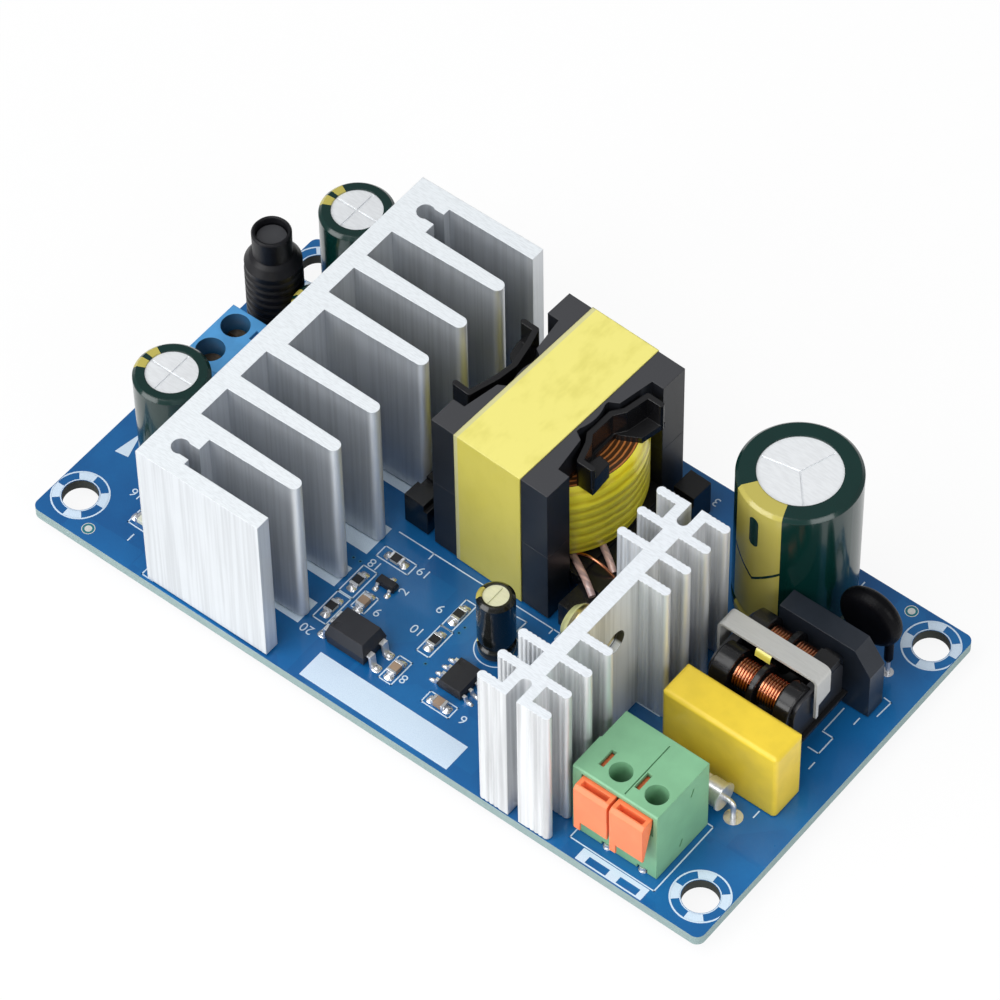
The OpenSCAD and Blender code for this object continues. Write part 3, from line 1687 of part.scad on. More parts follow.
in_frame() input_terminal_housing();
in_frame() input_terminal_contacts();
in_frame() input_terminal_lever_line();
in_frame() input_terminal_lever_neutral();
in_frame() film_capacitor_case();
in_frame() choke_bobbins();
in_frame() choke_core();
in_frame() choke_windings();
in_frame() choke_strap();
in_frame() choke_pins();
in_frame() bridge_body();
in_frame() thermistor_disc();
in_frame() fuse_tube();
in_frame() fuse_caps();
in_frame() controller_body();
in_frame() controller_leads();
in_frame() optocoupler_body();
in_frame() optocoupler_leads();
in_frame() reference_body();
in_frame() reference_leads();
in_frame() chip_resistors();
in_frame() chip_capacitors();
in_frame() chip_ends();
in_frame() status_lamp();
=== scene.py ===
# %% [markdown]
# # An open frame power supply on a blue board
#
# This lesson dresses a power supply for a render. Its solid parts come ready made: board, heatsinks,
# capacitors, terminals and the rest. What is left is what the eye reads first: the glossy lacquer, the
# cut aluminium, the copper coils, the white print and the solder. Each step says what the real thing
# is, how it could be made in Blender, and why it is made this way here.
#
# The solid parts stay where they are. New pieces are built in the same place and ride on them.

import math

import bpy
from mathutils import Matrix, Vector


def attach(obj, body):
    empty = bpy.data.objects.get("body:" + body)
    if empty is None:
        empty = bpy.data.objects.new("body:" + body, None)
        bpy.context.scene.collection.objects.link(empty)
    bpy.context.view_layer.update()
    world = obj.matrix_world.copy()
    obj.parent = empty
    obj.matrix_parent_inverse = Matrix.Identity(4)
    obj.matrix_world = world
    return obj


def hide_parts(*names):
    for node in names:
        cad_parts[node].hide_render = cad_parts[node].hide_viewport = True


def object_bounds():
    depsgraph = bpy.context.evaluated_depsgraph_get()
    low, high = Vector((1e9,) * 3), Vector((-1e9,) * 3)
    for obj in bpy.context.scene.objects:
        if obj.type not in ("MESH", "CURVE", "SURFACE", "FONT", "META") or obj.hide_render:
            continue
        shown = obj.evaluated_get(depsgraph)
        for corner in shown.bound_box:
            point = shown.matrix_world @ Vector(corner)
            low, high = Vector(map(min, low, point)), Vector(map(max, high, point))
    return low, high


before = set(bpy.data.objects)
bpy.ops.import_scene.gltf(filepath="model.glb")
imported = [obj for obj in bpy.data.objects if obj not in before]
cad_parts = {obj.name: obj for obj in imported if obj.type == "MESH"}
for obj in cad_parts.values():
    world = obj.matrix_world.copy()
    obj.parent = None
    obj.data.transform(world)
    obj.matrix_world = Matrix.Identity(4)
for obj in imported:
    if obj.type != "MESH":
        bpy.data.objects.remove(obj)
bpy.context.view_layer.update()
scene = bpy.context.scene

# %% [markdown]
# ## Positions on the board
#
# Circuit makers place parts in millimetres from a corner of the board, with the top face at height 0.
# The scene measures in metres from the middle of the mounting holes, on the underside. One small
# function turns the first into the second, so every number below can be read off a ruler.

# %% From board millimetres to scene metres
MIDDLE = Vector((53.55, 28.98, -1.6))


def at(x, y, z=0.0):
    return (Vector((x, y, z)) - MIDDLE) / 1000


print("board corner at", [round(c, 4) for c in at(0, 0)])

# %% [markdown]
# ## Shader sums as plain Python
#
# A finish is a small network of nodes. Wiring it by hand hides the idea in clicks, so one class wraps
# an output socket and takes part in arithmetic: `1 - mask` adds a Math node by itself.

# %% A socket that can be added and multiplied
class Signal:
    def __init__(self, finish, socket):
        self.finish = finish
        self.socket = socket

    def __add__(self, other):
        return self.finish.sum("ADD", self, other)

    def __sub__(self, other):
        return self.finish.sum("SUBTRACT", self, other)

    def __mul__(self, other):
        return self.finish.sum("MULTIPLY", self, other)

    def __rsub__(self, other):
        return self.finish.sum("SUBTRACT", other, self)

    def __gt__(self, other):
        return self.finish.sum("GREATER_THAN", self, other)

    def __lt__(self, other):
        return self.finish.sum("LESS_THAN", self, other)

    __radd__ = __add__
    __rmul__ = __mul__


# %% [markdown]
# ## One finish, one material
#
# A second class holds one material, adds any other node, and blends colours. Every surface position is
# in board millimetres, because that is how big scratches, tape and weave really are. `off_axis` gives
# the squared distance from an upright axis: squares compare as well as distances and save a root.

# %% One material and the nodes that it is made of
class Finish:
    def __init__(self, name):
        self.material = bpy.data.materials.new(name)
        self.material.use_nodes = True
        self.tree = self.material.node_tree
        self.shader = self.tree.nodes["Principled BSDF"]
        held = self.node("ShaderNodeTexCoord", out="Object")
        self.spot = self.node(
            "ShaderNodeVectorMath", {"operation": "MULTIPLY_ADD"}, {0: held, 1: (1000, 1000, 1000), 2: MIDDLE}
        )
        parts = self.node("ShaderNodeSeparateXYZ", sockets={0: self.spot})
        self.x, self.y, self.z = (Signal(self, s) for s in parts.socket.node.outputs)
        facing = self.node("ShaderNodeNewGeometry", out="Normal")
        ways = self.node("ShaderNodeSeparateXYZ", sockets={0: facing})
        self.up = Signal(self, ways.socket.node.outputs["Z"])

    def feed(self, socket, value):
        if isinstance(value, Signal):
            self.tree.links.new(value.socket, socket)
        elif socket.type == "RGBA":
            socket.default_value = (*value[:3], 1)
        else:
            socket.default_value = value

    def node(self, kind, settings=None, sockets=None, out=0):
        made = self.tree.nodes.new(kind)
        for name, value in (settings or {}).items():
            setattr(made, name, value)
        for name, value in (sockets or {}).items():
            self.feed(made.inputs[name], value)
        return Signal(self, made.outputs[out])

    def sum(self, operation, first, second):
        return self.node("ShaderNodeMath", {"operation": operation}, {0: first, 1: second})

    def blend(self, under, over, mask, way="MIX"):
        settings = {"data_type": "RGBA", "blend_type": way}
        # the Mix node repeats its socket names: 6 and 7 take the two colours, and output 2 gives one
        return self.node("ShaderNodeMix", settings, {0: mask, 6: under, 7: over}, out=2)

    def stretched(self, x, y, z):
        settings = {"operation": "MULTIPLY"}
        return self.node("ShaderNodeVectorMath", settings, {0: self.spot, 1: (x, y, z)})

    def off_axis(self, x, y):
        return (self.x - x) * (self.x - x) + (self.y - y) * (self.y - y)

    def grain(self, scale, detail=3.0, spot=None):
        sockets = {"Vector": spot or self.spot, "Scale": scale, "Detail": detail}
        return self.node("ShaderNodeTexNoise", sockets=sockets)

    def between(self, value, low, high):
        settings = {"interpolation_type": "SMOOTHSTEP"}
        return self.node("ShaderNodeMapRange", settings, {0: value, 1: low, 2: high})

    def soft_edges(self, radius_mm):
        return self.node("ShaderNodeBevel", {"samples": 4}, {"Radius": radius_mm / 1000})

    def relief(self, height, depth_mm, strength=1.0, edges=None):
        sockets = {"Height": height, "Distance": depth_mm / 1000, "Strength": strength}
        if edges:
            sockets["Normal"] = edges
        return self.node("ShaderNodeBump", sockets=sockets)

    def surface(self, **sockets):
        for name, value in sockets.items():
            self.feed(self.shader.inputs[name.replace("_", " ")], value)
        return self.material


print("helpers ready")

# %% [markdown]
# ## Putting a finish on
#
# A solid part already has its mesh, so it only needs a material in its slot. A new piece needs two
# facts as well: what it moves with and which finish it belongs to. Two small functions keep that in one
# line each. Where a new piece stands for a solid, that solid is hidden on its own.

# %% Dress a solid part, or add a piece
def dress(finish, *nodes):
    for name in nodes:
        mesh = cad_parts[name].data
        mesh.materials.clear()
        mesh.materials.append(finish)


def add(name, data, finish, body="supply"):
    piece = bpy.data.objects.new(name, data)
    scene.collection.objects.link(piece)
    data.materials.append(finish)
    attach(piece, body)
    return piece


def mesh_of(name, corners, faces, smooth=False):
    mesh = bpy.data.meshes.new(name)
    mesh.from_pydata([at(*c) for c in corners], [], faces)
    mesh.validate()
    mesh.polygons.foreach_set("use_smooth", [smooth] * len(mesh.polygons))
    return mesh


# %% [markdown]
# ## Blue lacquer over copper and glass cloth
#
# The board is glass cloth in resin, cut with a saw, so its edge shows pale and greenish with faint
# layers. Both faces carry blue lacquer that dries glossy and follows the weave a little, and looks
# lighter where a copper area lies under it. One material can do all of that: the direction that a face
# looks in picks lacquer or cut edge, square cells give the copper areas, and the distance from a
# mounting hole picks its wall, which is painted dark as shade.

# %% The board's finish
lacquer = Finish("board lacquer")
weave = lacquer.grain(1.6, 2, lacquer.stretched(1, 1, 0))
bands = {"wave_type": "BANDS", "bands_direction": "DIAGONAL"}
cloth = lacquer.node("ShaderNodeTexWave", bands, {"Vector": lacquer.spot, "Scale": 1.1})
cloudy = lacquer.grain(0.06, 3)
cells = {"Vector": lacquer.stretched(1, 1, 0), "Scale": 0.1}
areas = lacquer.node("ShaderNodeTexVoronoi", {"distance": "CHEBYCHEV"}, cells, out="Color")
blue = lacquer.blend((0.005, 0.090, 0.275), (0.008, 0.130, 0.360), lacquer.between(cloudy, 0.35, 0.65))
blue = lacquer.blend(blue, (0.010, 0.165, 0.430), lacquer.between(areas, 0.5, 0.52) * 0.25)
blue = lacquer.blend(blue, (0.003, 0.070, 0.240), weave * 0.25)
layers = lacquer.grain(2.2, 2, lacquer.stretched(0.12, 0.12, 5))
cut_edge = lacquer.blend((0.15, 0.24, 0.25), (0.38, 0.48, 0.46), layers)
HOLES = [(x, y) for x in (3.8, 103.3) for y in (5.18, 52.78)]
HOLE_WALL = 2.7
hole_wall_shade = 0.0
for x, y in HOLES:
    hole_wall_shade = (lacquer.off_axis(x, y) < HOLE_WALL * HOLE_WALL) + hole_wall_shade
# painted shade: the cut edge is dark inside the mounting holes, where shade falls
cut_edge = lacquer.blend(cut_edge, (0.03, 0.035, 0.03), hole_wall_shade)
flat = lacquer.between(lacquer.sum("MULTIPLY", lacquer.up, lacquer.up), 0.4, 0.6)
board_finish = lacquer.surface(
    Base_Color=lacquer.blend(cut_edge, blue, flat),
    Roughness=0.6 - flat * 0.34 + weave * 0.06,
    Coat_Weight=flat * 0.35,
    Coat_Roughness=0.08,
    Specular_IOR_Level=0.35,
    Normal=lacquer.relief(weave * 0.7 + cloth * 0.3, 0.02, 0.3),
)
dress(board_finish, "board")
print("board dressed")

# %% [markdown]
# ## Metals
#
# Aluminium, tin, brass and plated steel differ in colour, in how rough they are and in which way their
# scratches run. One recipe makes them all: a noise that is squeezed along two axes gives streaks, and
# the streaks move both roughness and shade. A flat grey with metallic turned up would look like wax.

# %% A recipe for drawn, rolled and plated metal
def metal(name, shade, rough=0.3, streak=(1, 1, 1), scale=2.0, depth=0.01, edge=0.05, metallic=1.0, stain=0.12):
    finish = Finish(name)
    lines = finish.grain(scale, 4, finish.stretched(*streak))
    clouds = finish.grain(0.35, 3)
    dark = tuple(c * (1 - stain) for c in shade)
    colour = finish.blend(dark, shade, finish.between(lines, 0.3, 0.7))
    colour = finish.blend(colour, dark, clouds * stain * 2)
    return finish.surface(
        Base_Color=colour,
        Metallic=metallic,
        Roughness=rough - 0.08 + lines * 0.12 + clouds * 0.06,
        Normal=finish.relief(lines, depth, 0.5, finish.soft_edges(edge)),
    )


tin = metal("tinned lead", (0.82, 0.83, 0.85), 0.3, (1, 1, 0.3), 3, metallic=0.75)
solder = metal("solder", (0.80, 0.81, 0.84), 0.24, (1, 1, 1), 1.2, 0.03, 0.12, metallic=0.8)
dress(
    tin, "heatsink_pins", "output_rectifier_tab", "primary_switch_tab", "transformer_pins", "wire_leads",
    "output_terminal_contacts", "input_terminal_contacts", "choke_pins", "fuse_caps", "controller_leads",
    "optocoupler_leads", "reference_leads",
)
dress(solder, "solder_joints", "chip_ends")
dress(metal("yellow zinc", (0.80, 0.68, 0.36), 0.3), "tab_screws")
dress(metal("plated screw", (0.42, 0.30, 0.20), 0.3, stain=0.6), "output_terminal_screw_plus",
      "output_terminal_screw_minus")
dress(metal("clamp brass", (0.76, 0.66, 0.40), 0.32), "output_terminal_clamp_plus",
      "output_terminal_clamp_minus")
dress(metal("rolled strap", (0.56, 0.56, 0.54), 0.42, (0.15, 2, 1), 3, 0.01, metallic=0.35, stain=0.08),
      "choke_strap")
DRAWN_CAN = (0.4, (0.4, 2.2, 1), 2, 0.006, 0.1, 0.3, 0.08)
dress(metal("can metal", (0.88, 0.90, 0.92), *DRAWN_CAN), "input_capacitor_can", "output_capacitor_cans")
dress(metal("golden can", (0.84, 0.84, 0.60), *DRAWN_CAN), "supply_capacitor_can")
print(len(bpy.data.materials), "materials so far")

# %% [markdown]
# ## Two extruded heatsinks
#
# The metal leaves the press as long bars, so die lines run up every side. The bars are then sawn to
# length and brushed. Between the fins and in a bolt hole the metal is painted darker, as painted shade,
# so a small function for each heatsink says where that shade goes.

# %% Where shade is painted on the heatsinks
END_FINS, FIN_ROOT, FIN_TIPS = (0.8, 55.9), 20.5, (37.6, 38.4)
BOLT_Y, BOLT_Z, BOLT_REACH, WEB = 18.65, 17.3, 1.9, (76.5, 79.7)


def between_fins(finish):
    inside = (finish.y > END_FINS[0]) * (finish.y < END_FINS[1]) * (finish.x > FIN_ROOT)
    return inside * (1 - finish.between(finish.x, *FIN_TIPS))


def in_bolt_hole(finish):
    away = (finish.y - BOLT_Y) * (finish.y - BOLT_Y) + (finish.z - BOLT_Z) * (finish.z - BOLT_Z)
    return (away < BOLT_REACH * BOLT_REACH) * (finish.x > WEB[0]) * (finish.x < WEB[1])


# %% [markdown]
# ## Die lines and brushed ends
#
# The upper ends are bright with short crossing scratches. Again the way a face looks decides: upwards
# means brushed end, anything else means die lines. One recipe serves both heatsinks, because only
# their shades and the width of their lines differ.

# %% The heatsinks' finish
def extruded(name, side_shade, end_shade, line_scale, side_metal, contrast, painted_shade_where, painted_shade):
    finish = Finish(name)
    die_lines = finish.grain(line_scale, 5, finish.stretched(1, 1, 0.02))
    wide_lines = finish.grain(line_scale / 5, 2, finish.stretched(1, 1, 0.01))
    stains = finish.grain(0.25, 4)
    scratches = finish.grain(3, 4, finish.stretched(0.35, 2.4, 1))
    top = finish.between(finish.up, 0.6, 0.8)
    dark_side = tuple(c * (1 - contrast) for c in side_shade)
    side = finish.blend(dark_side, side_shade, finish.between(die_lines * 0.7 + wide_lines * 0.3, 0.36, 0.60))
    side = finish.blend(side, tuple(c * 0.88 for c in side_shade), stains * 0.4)
    # painted shade: darker between the fins and in the bolt hole, where shade falls
    side = finish.blend(side, finish.blend(side, painted_shade, 1.0, "MULTIPLY"), painted_shade_where(finish))
    end = finish.blend(tuple(c * 0.9 for c in end_shade), end_shade, finish.between(scratches, 0.35, 0.6))
    relief = die_lines * (1 - top) + scratches * top
    return finish.surface(
        Base_Color=finish.blend(side, end, top),
        Metallic=side_metal - top * (side_metal - 0.25),
        Roughness=0.40 + top * 0.14 + die_lines * 0.1,
        Normal=finish.relief(relief, 0.015, 0.35, finish.soft_edges(0.12)),
    )


large = extruded(
    "large heatsink", (0.76, 0.79, 0.82), (0.82, 0.86, 0.89), 2.2, 0.66, 0.16, between_fins, (0.82, 0.83, 0.85)
)
small = extruded(
    "small heatsink", (0.86, 0.88, 0.90), (0.82, 0.86, 0.90), 1.4, 0.62, 0.35, in_bolt_hole, (0.1, 0.09, 0.06)
)
dress(large, "output_heatsink")
dress(small, "primary_heatsink")
print("heatsinks dressed")

# %% [markdown]
# ## Moulded and coated bodies
#
# Plastic housings are satin with a fine grain, resin packages are slightly rougher, coated discs are
# lumpy and shiny. They share a recipe as the metals do: a fine grain in the relief, a slow cloud in
# the colour, and edges softened a few hundredths of a millimetre as a mould leaves them. Some have
# upper faces of their own: a chip resistor wears black on white ceramic, and the lighter tops of the
# ferrite and the black moulding are painted light from above. Some are painted darker in given
# places, as painted shade.

# %% A recipe for plastic, resin and lacquer
def moulding(
    name, shade, rough=0.4, grain=6.0, depth=0.01, edge=0.12, coat=0.0, cloud=0.1, lumps=0.0, gloss=0.5,
    top=None, inside=None,
):
    finish = Finish(name)
    fine = finish.grain(grain, 3)
    slow = finish.grain(0.3, 3)
    dark = tuple(c * (1 - cloud) for c in shade)
    light = tuple(min(1, c * (1 + cloud)) for c in shade)
    colour = finish.blend(dark, light, finish.between(slow, 0.3, 0.7))
    # the top colour is the chip resistor's black layer, and on ferrite and black moulding painted light from
    # above
    if top:
        colour = finish.blend(colour, top, finish.between(finish.up, 0.6, 0.8))
    # painted shade: darker where the given function says
    if inside:
        colour = finish.blend(colour, tuple(c * 0.4 for c in shade), inside(finish))
    return finish.surface(
        Base_Color=colour,
        Roughness=rough - 0.05 + fine * 0.1,
        Coat_Weight=coat,
        Coat_Roughness=0.12,
        Specular_IOR_Level=gloss,
        Normal=finish.relief(fine + slow * lumps, depth, 0.5, finish.soft_edges(edge)),
    )


dress(moulding("black resin", (0.017, 0.018, 0.023), 0.45, 9, 0.006, gloss=0.4), "output_rectifier_body",
      "primary_switch_body", "controller_body", "optocoupler_body", "reference_body")
dress(moulding("bridge resin", (0.014, 0.018, 0.026), 0.3, 9, 0.004), "bridge_body")
# painted light: the ferrite's lighter top stands for light from above
dress(moulding("ferrite", (0.010, 0.011, 0.014), 0.36, 5, 0.01, 0.15, gloss=0.35, top=(0.050, 0.051, 0.056)),
      "transformer_core", "inductor_core", "choke_core")
# painted light: the black moulding's lighter top stands for light from above
dress(moulding("black moulding", (0.004, 0.004, 0.005), 0.24, 2, 0.003, 0.18, gloss=0.4,
               top=(0.012, 0.012, 0.013)), "transformer_bobbin", "choke_bobbins")
dress(moulding("rubber bung", (0.02, 0.02, 0.02), 0.7), "capacitor_bungs")
dress(moulding("shrunk tube", (0.004, 0.004, 0.006), 0.44, 2, 0.02, 0.2, gloss=0.3), "inductor_sleeve")

# %% [markdown]
# ## Two terminals, chips and coated parts
#
# The blue terminal's screws stand deep in round wells, where the plastic is painted darker as shade. A
# small function says where the wells are, as for the heatsinks. The other parts need one line each.

# %% Dress the terminals and small parts
WELL_X, WELL_YS, WELL_REACH = 7.05, (27.85, 32.85), 2.4


def screw_well_shade(finish):
    wells = 0.0
    for y in WELL_YS:
        wells = (finish.off_axis(WELL_X, y) < WELL_REACH * WELL_REACH) + wells
    # painted shade in the wells, on all but the upward faces
    return wells * (finish.up < 0.5)


blue_housing = moulding("blue housing", (0.075, 0.300, 0.610), 0.38, 6, 0.006, inside=screw_well_shade)
dress(blue_housing, "output_terminal_housing")
dress(moulding("green housing", (0.200, 0.440, 0.250), 0.45, 7, 0.006, cloud=0.05), "input_terminal_housing")
dress(moulding("orange lever", (0.93, 0.22, 0.08), 0.42, 7, 0.006, 0.2, cloud=0.05),
      "input_terminal_lever_line", "input_terminal_lever_neutral")
dress(moulding("yellow case", (0.78, 0.57, 0.045), 0.34, 5, 0.004, 0.3, 0.06, 0.05, gloss=0.35),
      "film_capacitor_case")
dress(moulding("coated disc", (0.003, 0.003, 0.004), 0.38, 3, 0.01, 0.2, 0.0, 0.2, 1, 0.08), "thermistor_disc")
dress(moulding("dipped coating", (0.42, 0.43, 0.20), 0.2, 1, 0.01, 0.2, 0.5, 0.2, 1), "dipped_capacitor")
dress(moulding("fuse tube", (0.60, 0.58, 0.48), 0.25, 4, coat=0.4), "fuse_tube")
dress(moulding("chip ceramic", (0.55, 0.55, 0.53), 0.35, 8, edge=0.03, top=(0.012, 0.012, 0.015)),
      "chip_resistors")
dress(moulding("tan chip", (0.34, 0.24, 0.17), 0.45, 8), "chip_capacitors")
dress(moulding("lamp lens", (0.70, 0.72, 0.60), 0.2, coat=0.5), "status_lamp")
print(len(bpy.data.materials), "materials after the mouldings")

# %% [markdown]
# ## Film tape on the transformer
#
# Thin yellow film is wound round the coil and once round the core. It is glossy, a little see-through,
# and wrinkles where it is pulled over a corner. Its upward faces are painted lighter, as light from
# above. Along one edge of the core's tape the film lies single and looks clear: a sum on the position,
# turned with the transformer, finds that edge.

# %% Tape round the core
COIL_X, COIL_Y, TURN, CLEAR_EDGE = 54.2, 40, math.radians(-2.2), -5.05
tape = Finish("core tape")
across_core = (tape.x - COIL_X) * math.cos(TURN) + (tape.y - COIL_Y) * math.sin(TURN)
wrinkle = tape.grain(0.5, 3, tape.stretched(1, 0.5, 0.5))
# painted light: upward faces of the tape are lighter, as if lit from above
painted_top_light = tape.between(tape.up, 0.3, 0.9)
film = tape.blend((0.60, 0.53, 0.085), (0.80, 0.73, 0.20), painted_top_light)
film = tape.blend(film, (0.52, 0.46, 0.06), tape.between(wrinkle, 0.45, 0.75) * 0.3)
film = tape.blend(film, (0.50, 0.50, 0.34), (across_core < CLEAR_EDGE) * 0.6)
tape_finish = tape.surface(
    Base_Color=film,
    Roughness=0.26 + wrinkle * 0.12,
    Coat_Weight=0.25,
    Normal=tape.relief(wrinkle, 0.08, 0.4, tape.soft_edges(0.3)),
)
dress(tape_finish, "transformer_tape")

# %% [markdown]
# ## Film tape on the coil
#
# The coil's tape shows the wires under it as soft ridges, and ends just inside the coil's upper rim, so
# amber copper shows there in rings. The distance from the coil's axis tells tape from copper, and a
# sine of the same distance draws the strands.

# %% Tape and strands on the coil
TAPE_RIM = 11.2
coil_tape = Finish("coil tape")
smudge = coil_tape.grain(0.8, 3)
ripple = {"Vector": coil_tape.spot, "Scale": 0.2, "Distortion": 2.2, "Detail": 1.0}
turns = coil_tape.node("ShaderNodeTexWave", {"bands_direction": "Z"}, ripple)
from_axis = coil_tape.sum("POWER", coil_tape.off_axis(COIL_X, COIL_Y), 0.5)
strands = coil_tape.sum("SINE", from_axis * 9 + coil_tape.z * 9 + smudge * 2, 0.0) * 0.5 + 0.5
bare = coil_tape.between(coil_tape.up, 0.5, 0.7) * (from_axis + smudge < TAPE_RIM)
ridges = coil_tape.between(turns + smudge * 0.5, 0.1, 0.8)
wrapped = coil_tape.blend((0.74, 0.58, 0.012), (1.00, 0.88, 0.045), ridges)
amber = coil_tape.blend((0.060, 0.022, 0.004), (0.50, 0.17, 0.04), coil_tape.between(strands, 0.6, 0.95))
dress(
    coil_tape.surface(
        Base_Color=coil_tape.blend(wrapped, amber, bare),
        Roughness=0.26 + smudge * 0.08,
        Coat_Weight=0.3,
        Normal=coil_tape.relief(turns + smudge * 0.8 + strands * bare * 0.3, 0.15, 0.5),
    ),
    "transformer_windings",
)
print("tape dressed")

# %% [markdown]
# ## Printed sleeves with a marking stripe
#
# Each electrolytic capacitor wears a shrunk film sleeve. A stripe in another colour down one side marks
# the negative lead. The stripe is part of the print, so it belongs in the material: the angle round
# the capacitor's own axis picks it out, and that needs only an arctangent.

# %% A sleeve with its stripe
def striped(name, cans, shade, stripe_shade, mark=None):
    finish = Finish(name)
    stripe = 0.0
    for x, y, reach, heading, half_angle in cans:
        across, along = finish.x - x, finish.y - y
        near = finish.off_axis(x, y) < reach * reach
        ahead = across * math.cos(heading) + along * math.sin(heading)
        aside = along * math.cos(heading) - across * math.sin(heading)
        offset = finish.sum("ARCTAN2", aside, ahead)
        inside = (finish.sum("ABSOLUTE", offset, 0.0) < half_angle) * near
        if mark:
            inside = inside * (1 - mark(finish, offset, reach))
        stripe = inside + stripe
    film = finish.grain(0.5, 3, finish.stretched(1, 1, 0.2))
    base = finish.blend(shade, tuple(c * 0.6 for c in shade), film * 0.5)
    return finish.surface(
        Base_Color=finish.blend(base, stripe_shade, stripe),
        Roughness=0.14 + film * 0.08,
        Coat_Weight=0.25,
        Coat_Roughness=0.05,
        Specular_IOR_Level=0.35,
        Normal=finish.relief(film, 0.05, 0.3, finish.soft_edges(0.3)),
    )


# %% [markdown]
# ## Signs inside the stripes
#
# The stripe of the large capacitor is broken by a minus sign with round ends and an arrow that points
# down. Those of the output capacitors are split by a thin dark line, and the small supply one is left
# plain. Each sign is a function that cuts its own shape out of the stripe: the height and the way round
# the can are all that it needs.

# %% Signs, and all the sleeves
MINUS_Z, MINUS_HALF, MINUS_ROUND = 20.3, 2.0, 0.55
ARROW_Z, ARROW_SLOPE, ARROW_HALF, SPLIT_HALF = 10.9, 0.85, 0.26, 0.09


def minus_and_arrow(finish, offset, reach):
    sideways = finish.sum("ABSOLUTE", offset, 0.0) * reach
    beyond = finish.sum("MAXIMUM", finish.sum("ABSOLUTE", finish.z - MINUS_Z, 0.0) - MINUS_HALF, 0.0)
    bar = (sideways * sideways + beyond * beyond) < MINUS_ROUND
    arrow = finish.sum("ABSOLUTE", finish.z - ARROW_Z - sideways * ARROW_SLOPE, 0.0) < ARROW_HALF
    return finish.sum("MAXIMUM", bar, arrow)


def split_bar(finish, offset, reach):
    return finish.sum("ABSOLUTE", offset, 0.0) < SPLIT_HALF


GREEN_FILM, GOLD_PRINT = (0.002, 0.026, 0.022), (0.46, 0.40, 0.09)
input_cans = [(85, 48.7, 8.1, math.radians(-97.7), math.radians(27.9))]
output_cans = [(11.4, 16, 5.2, math.pi, 0.45), (12.8, 50.95, 5.2, math.pi, 0.45), (14.5, 41.3, 4, 3.5, 0.4)]
dress(striped("input sleeve", input_cans, GREEN_FILM, GOLD_PRINT, minus_and_arrow), "input_capacitor_sleeve")
dress(striped("output sleeves", output_cans, GREEN_FILM, GOLD_PRINT, split_bar), "output_capacitor_sleeves")
black_film, supply_cans = (0.006, 0.007, 0.006), [(60.8, 19, 3, 3.5, 0.4)]
dress(striped("supply sleeve", supply_cans, black_film, GOLD_PRINT), "supply_capacitor_sleeve")
print("sleeves dressed")

# %% [markdown]
# ## Wire as a tube along a path
#
# Round wire is the easiest thing to model well: a path of points and a round section swept along it.
# A curve with a bevel does that and stays editable. The path is smoothed first, because wire never
# has a corner: each stretch between two points is filled by a Catmull-Rom spline.

# %% Smooth paths and wires
def smooth_path(points, steps=8):
    spots = [Vector(p) for p in points]
    spots = [spots[0] * 2 - spots[1]] + spots + [spots[-1] * 2 - spots[-2]]
    path = []
    for a, b, c, d in zip(spots, spots[1:], spots[2:], spots[3:]):
        for k in range(steps):
            t = k / steps
            path.append(0.5 * (2 * b + (c - a) * t + (2 * a - 5 * b + 4 * c - d) * t * t
                               + (3 * b - a - 3 * c + d) * t * t * t))
    return path + [spots[-2]]


def wire_data(name, paths, radius, sides=3):
    curve = bpy.data.curves.new(name, "CURVE")
    curve.dimensions = "3D"
    curve.bevel_depth = radius / 1000
    curve.bevel_resolution = sides
    curve.use_fill_caps = True
    for path in paths:
        line = curve.splines.new("POLY")
        line.points.add(len(path) - 1)
        for point, spot in zip(line.points, path):
            point.co = (*at(*spot), 1)
    return curve


# %% [markdown]
# ## The choke's copper coils
#
# Two spools carry enamelled copper wire, wound in two sections each. From this close the single turns
# catch the light one by one. The wire is a helix, so its points come straight from sine and cosine,
# and the four sections are one curve that stands for the plain tubes of the solid model. Below a set
# height the choke's copper is painted dark, as painted shade on the coils' undersides.

# %% Wind four coil sections
UNDERSIDE_SHADE_Z, CHOKE_START = (9.8, 11.0), 88
copper = Finish("enamelled copper")
shine = copper.grain(1.5, 3, copper.stretched(0.4, 1, 1))
# painted shade: the choke's copper turns dark below a set height
painted_underside_shade = (1 - copper.between(copper.z + shine, *UNDERSIDE_SHADE_Z)) * (copper.x > CHOKE_START)
bright_wire = copper.blend((0.42, 0.11, 0.035), (0.92, 0.40, 0.21), shine)
copper_finish = copper.surface(
    Base_Color=copper.blend(bright_wire, (0.045, 0.014, 0.006), painted_underside_shade),
    Metallic=1.0,
    Roughness=0.18 + shine * 0.1,
    Coat_Weight=0.6,
)
WIRE, COIL_RADIUS, SPOOLS_APART = 0.2, 2.12, 6.2
PITCH = 2.06 * WIRE
CHOKE_Y, CHOKE_Z = 32.4, 9.5


def coil(x0, x1, y, z, radius, turns, per_turn=20):
    count = int(turns * per_turn)
    path = []
    for k in range(count + 1):
        turn = 2 * math.pi * k / per_turn
        path.append((x0 + (x1 - x0) * k / count, y + radius * math.cos(turn), z + radius * math.sin(turn)))
    return path


coils = []
for side in (-0.5, 0.5):
    for first, last in ((90.65, 93.7), (94.5, 97.8)):
        x0, x1 = first + WIRE, last - WIRE
        spool_y = CHOKE_Y + side * SPOOLS_APART
        coils.append(coil(x0, x1, spool_y, CHOKE_Z, COIL_RADIUS - WIRE, (x1 - x0) / PITCH))
choke_coils = add("choke_coils", wire_data("choke_coils", coils, WIRE), copper_finish)
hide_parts("choke_windings")
dress(copper_finish, "inductor_winding")
print(len(coils), "sections,", sum(len(c) for c in coils), "points")

# %% [markdown]
# ## A scrap of film
#
# A scrap of the same yellow film is tucked under the steel strap in the middle of the front coil. It is
# a narrow sheet that bends down over the strap's edge, so a row of points for each bend is enough.

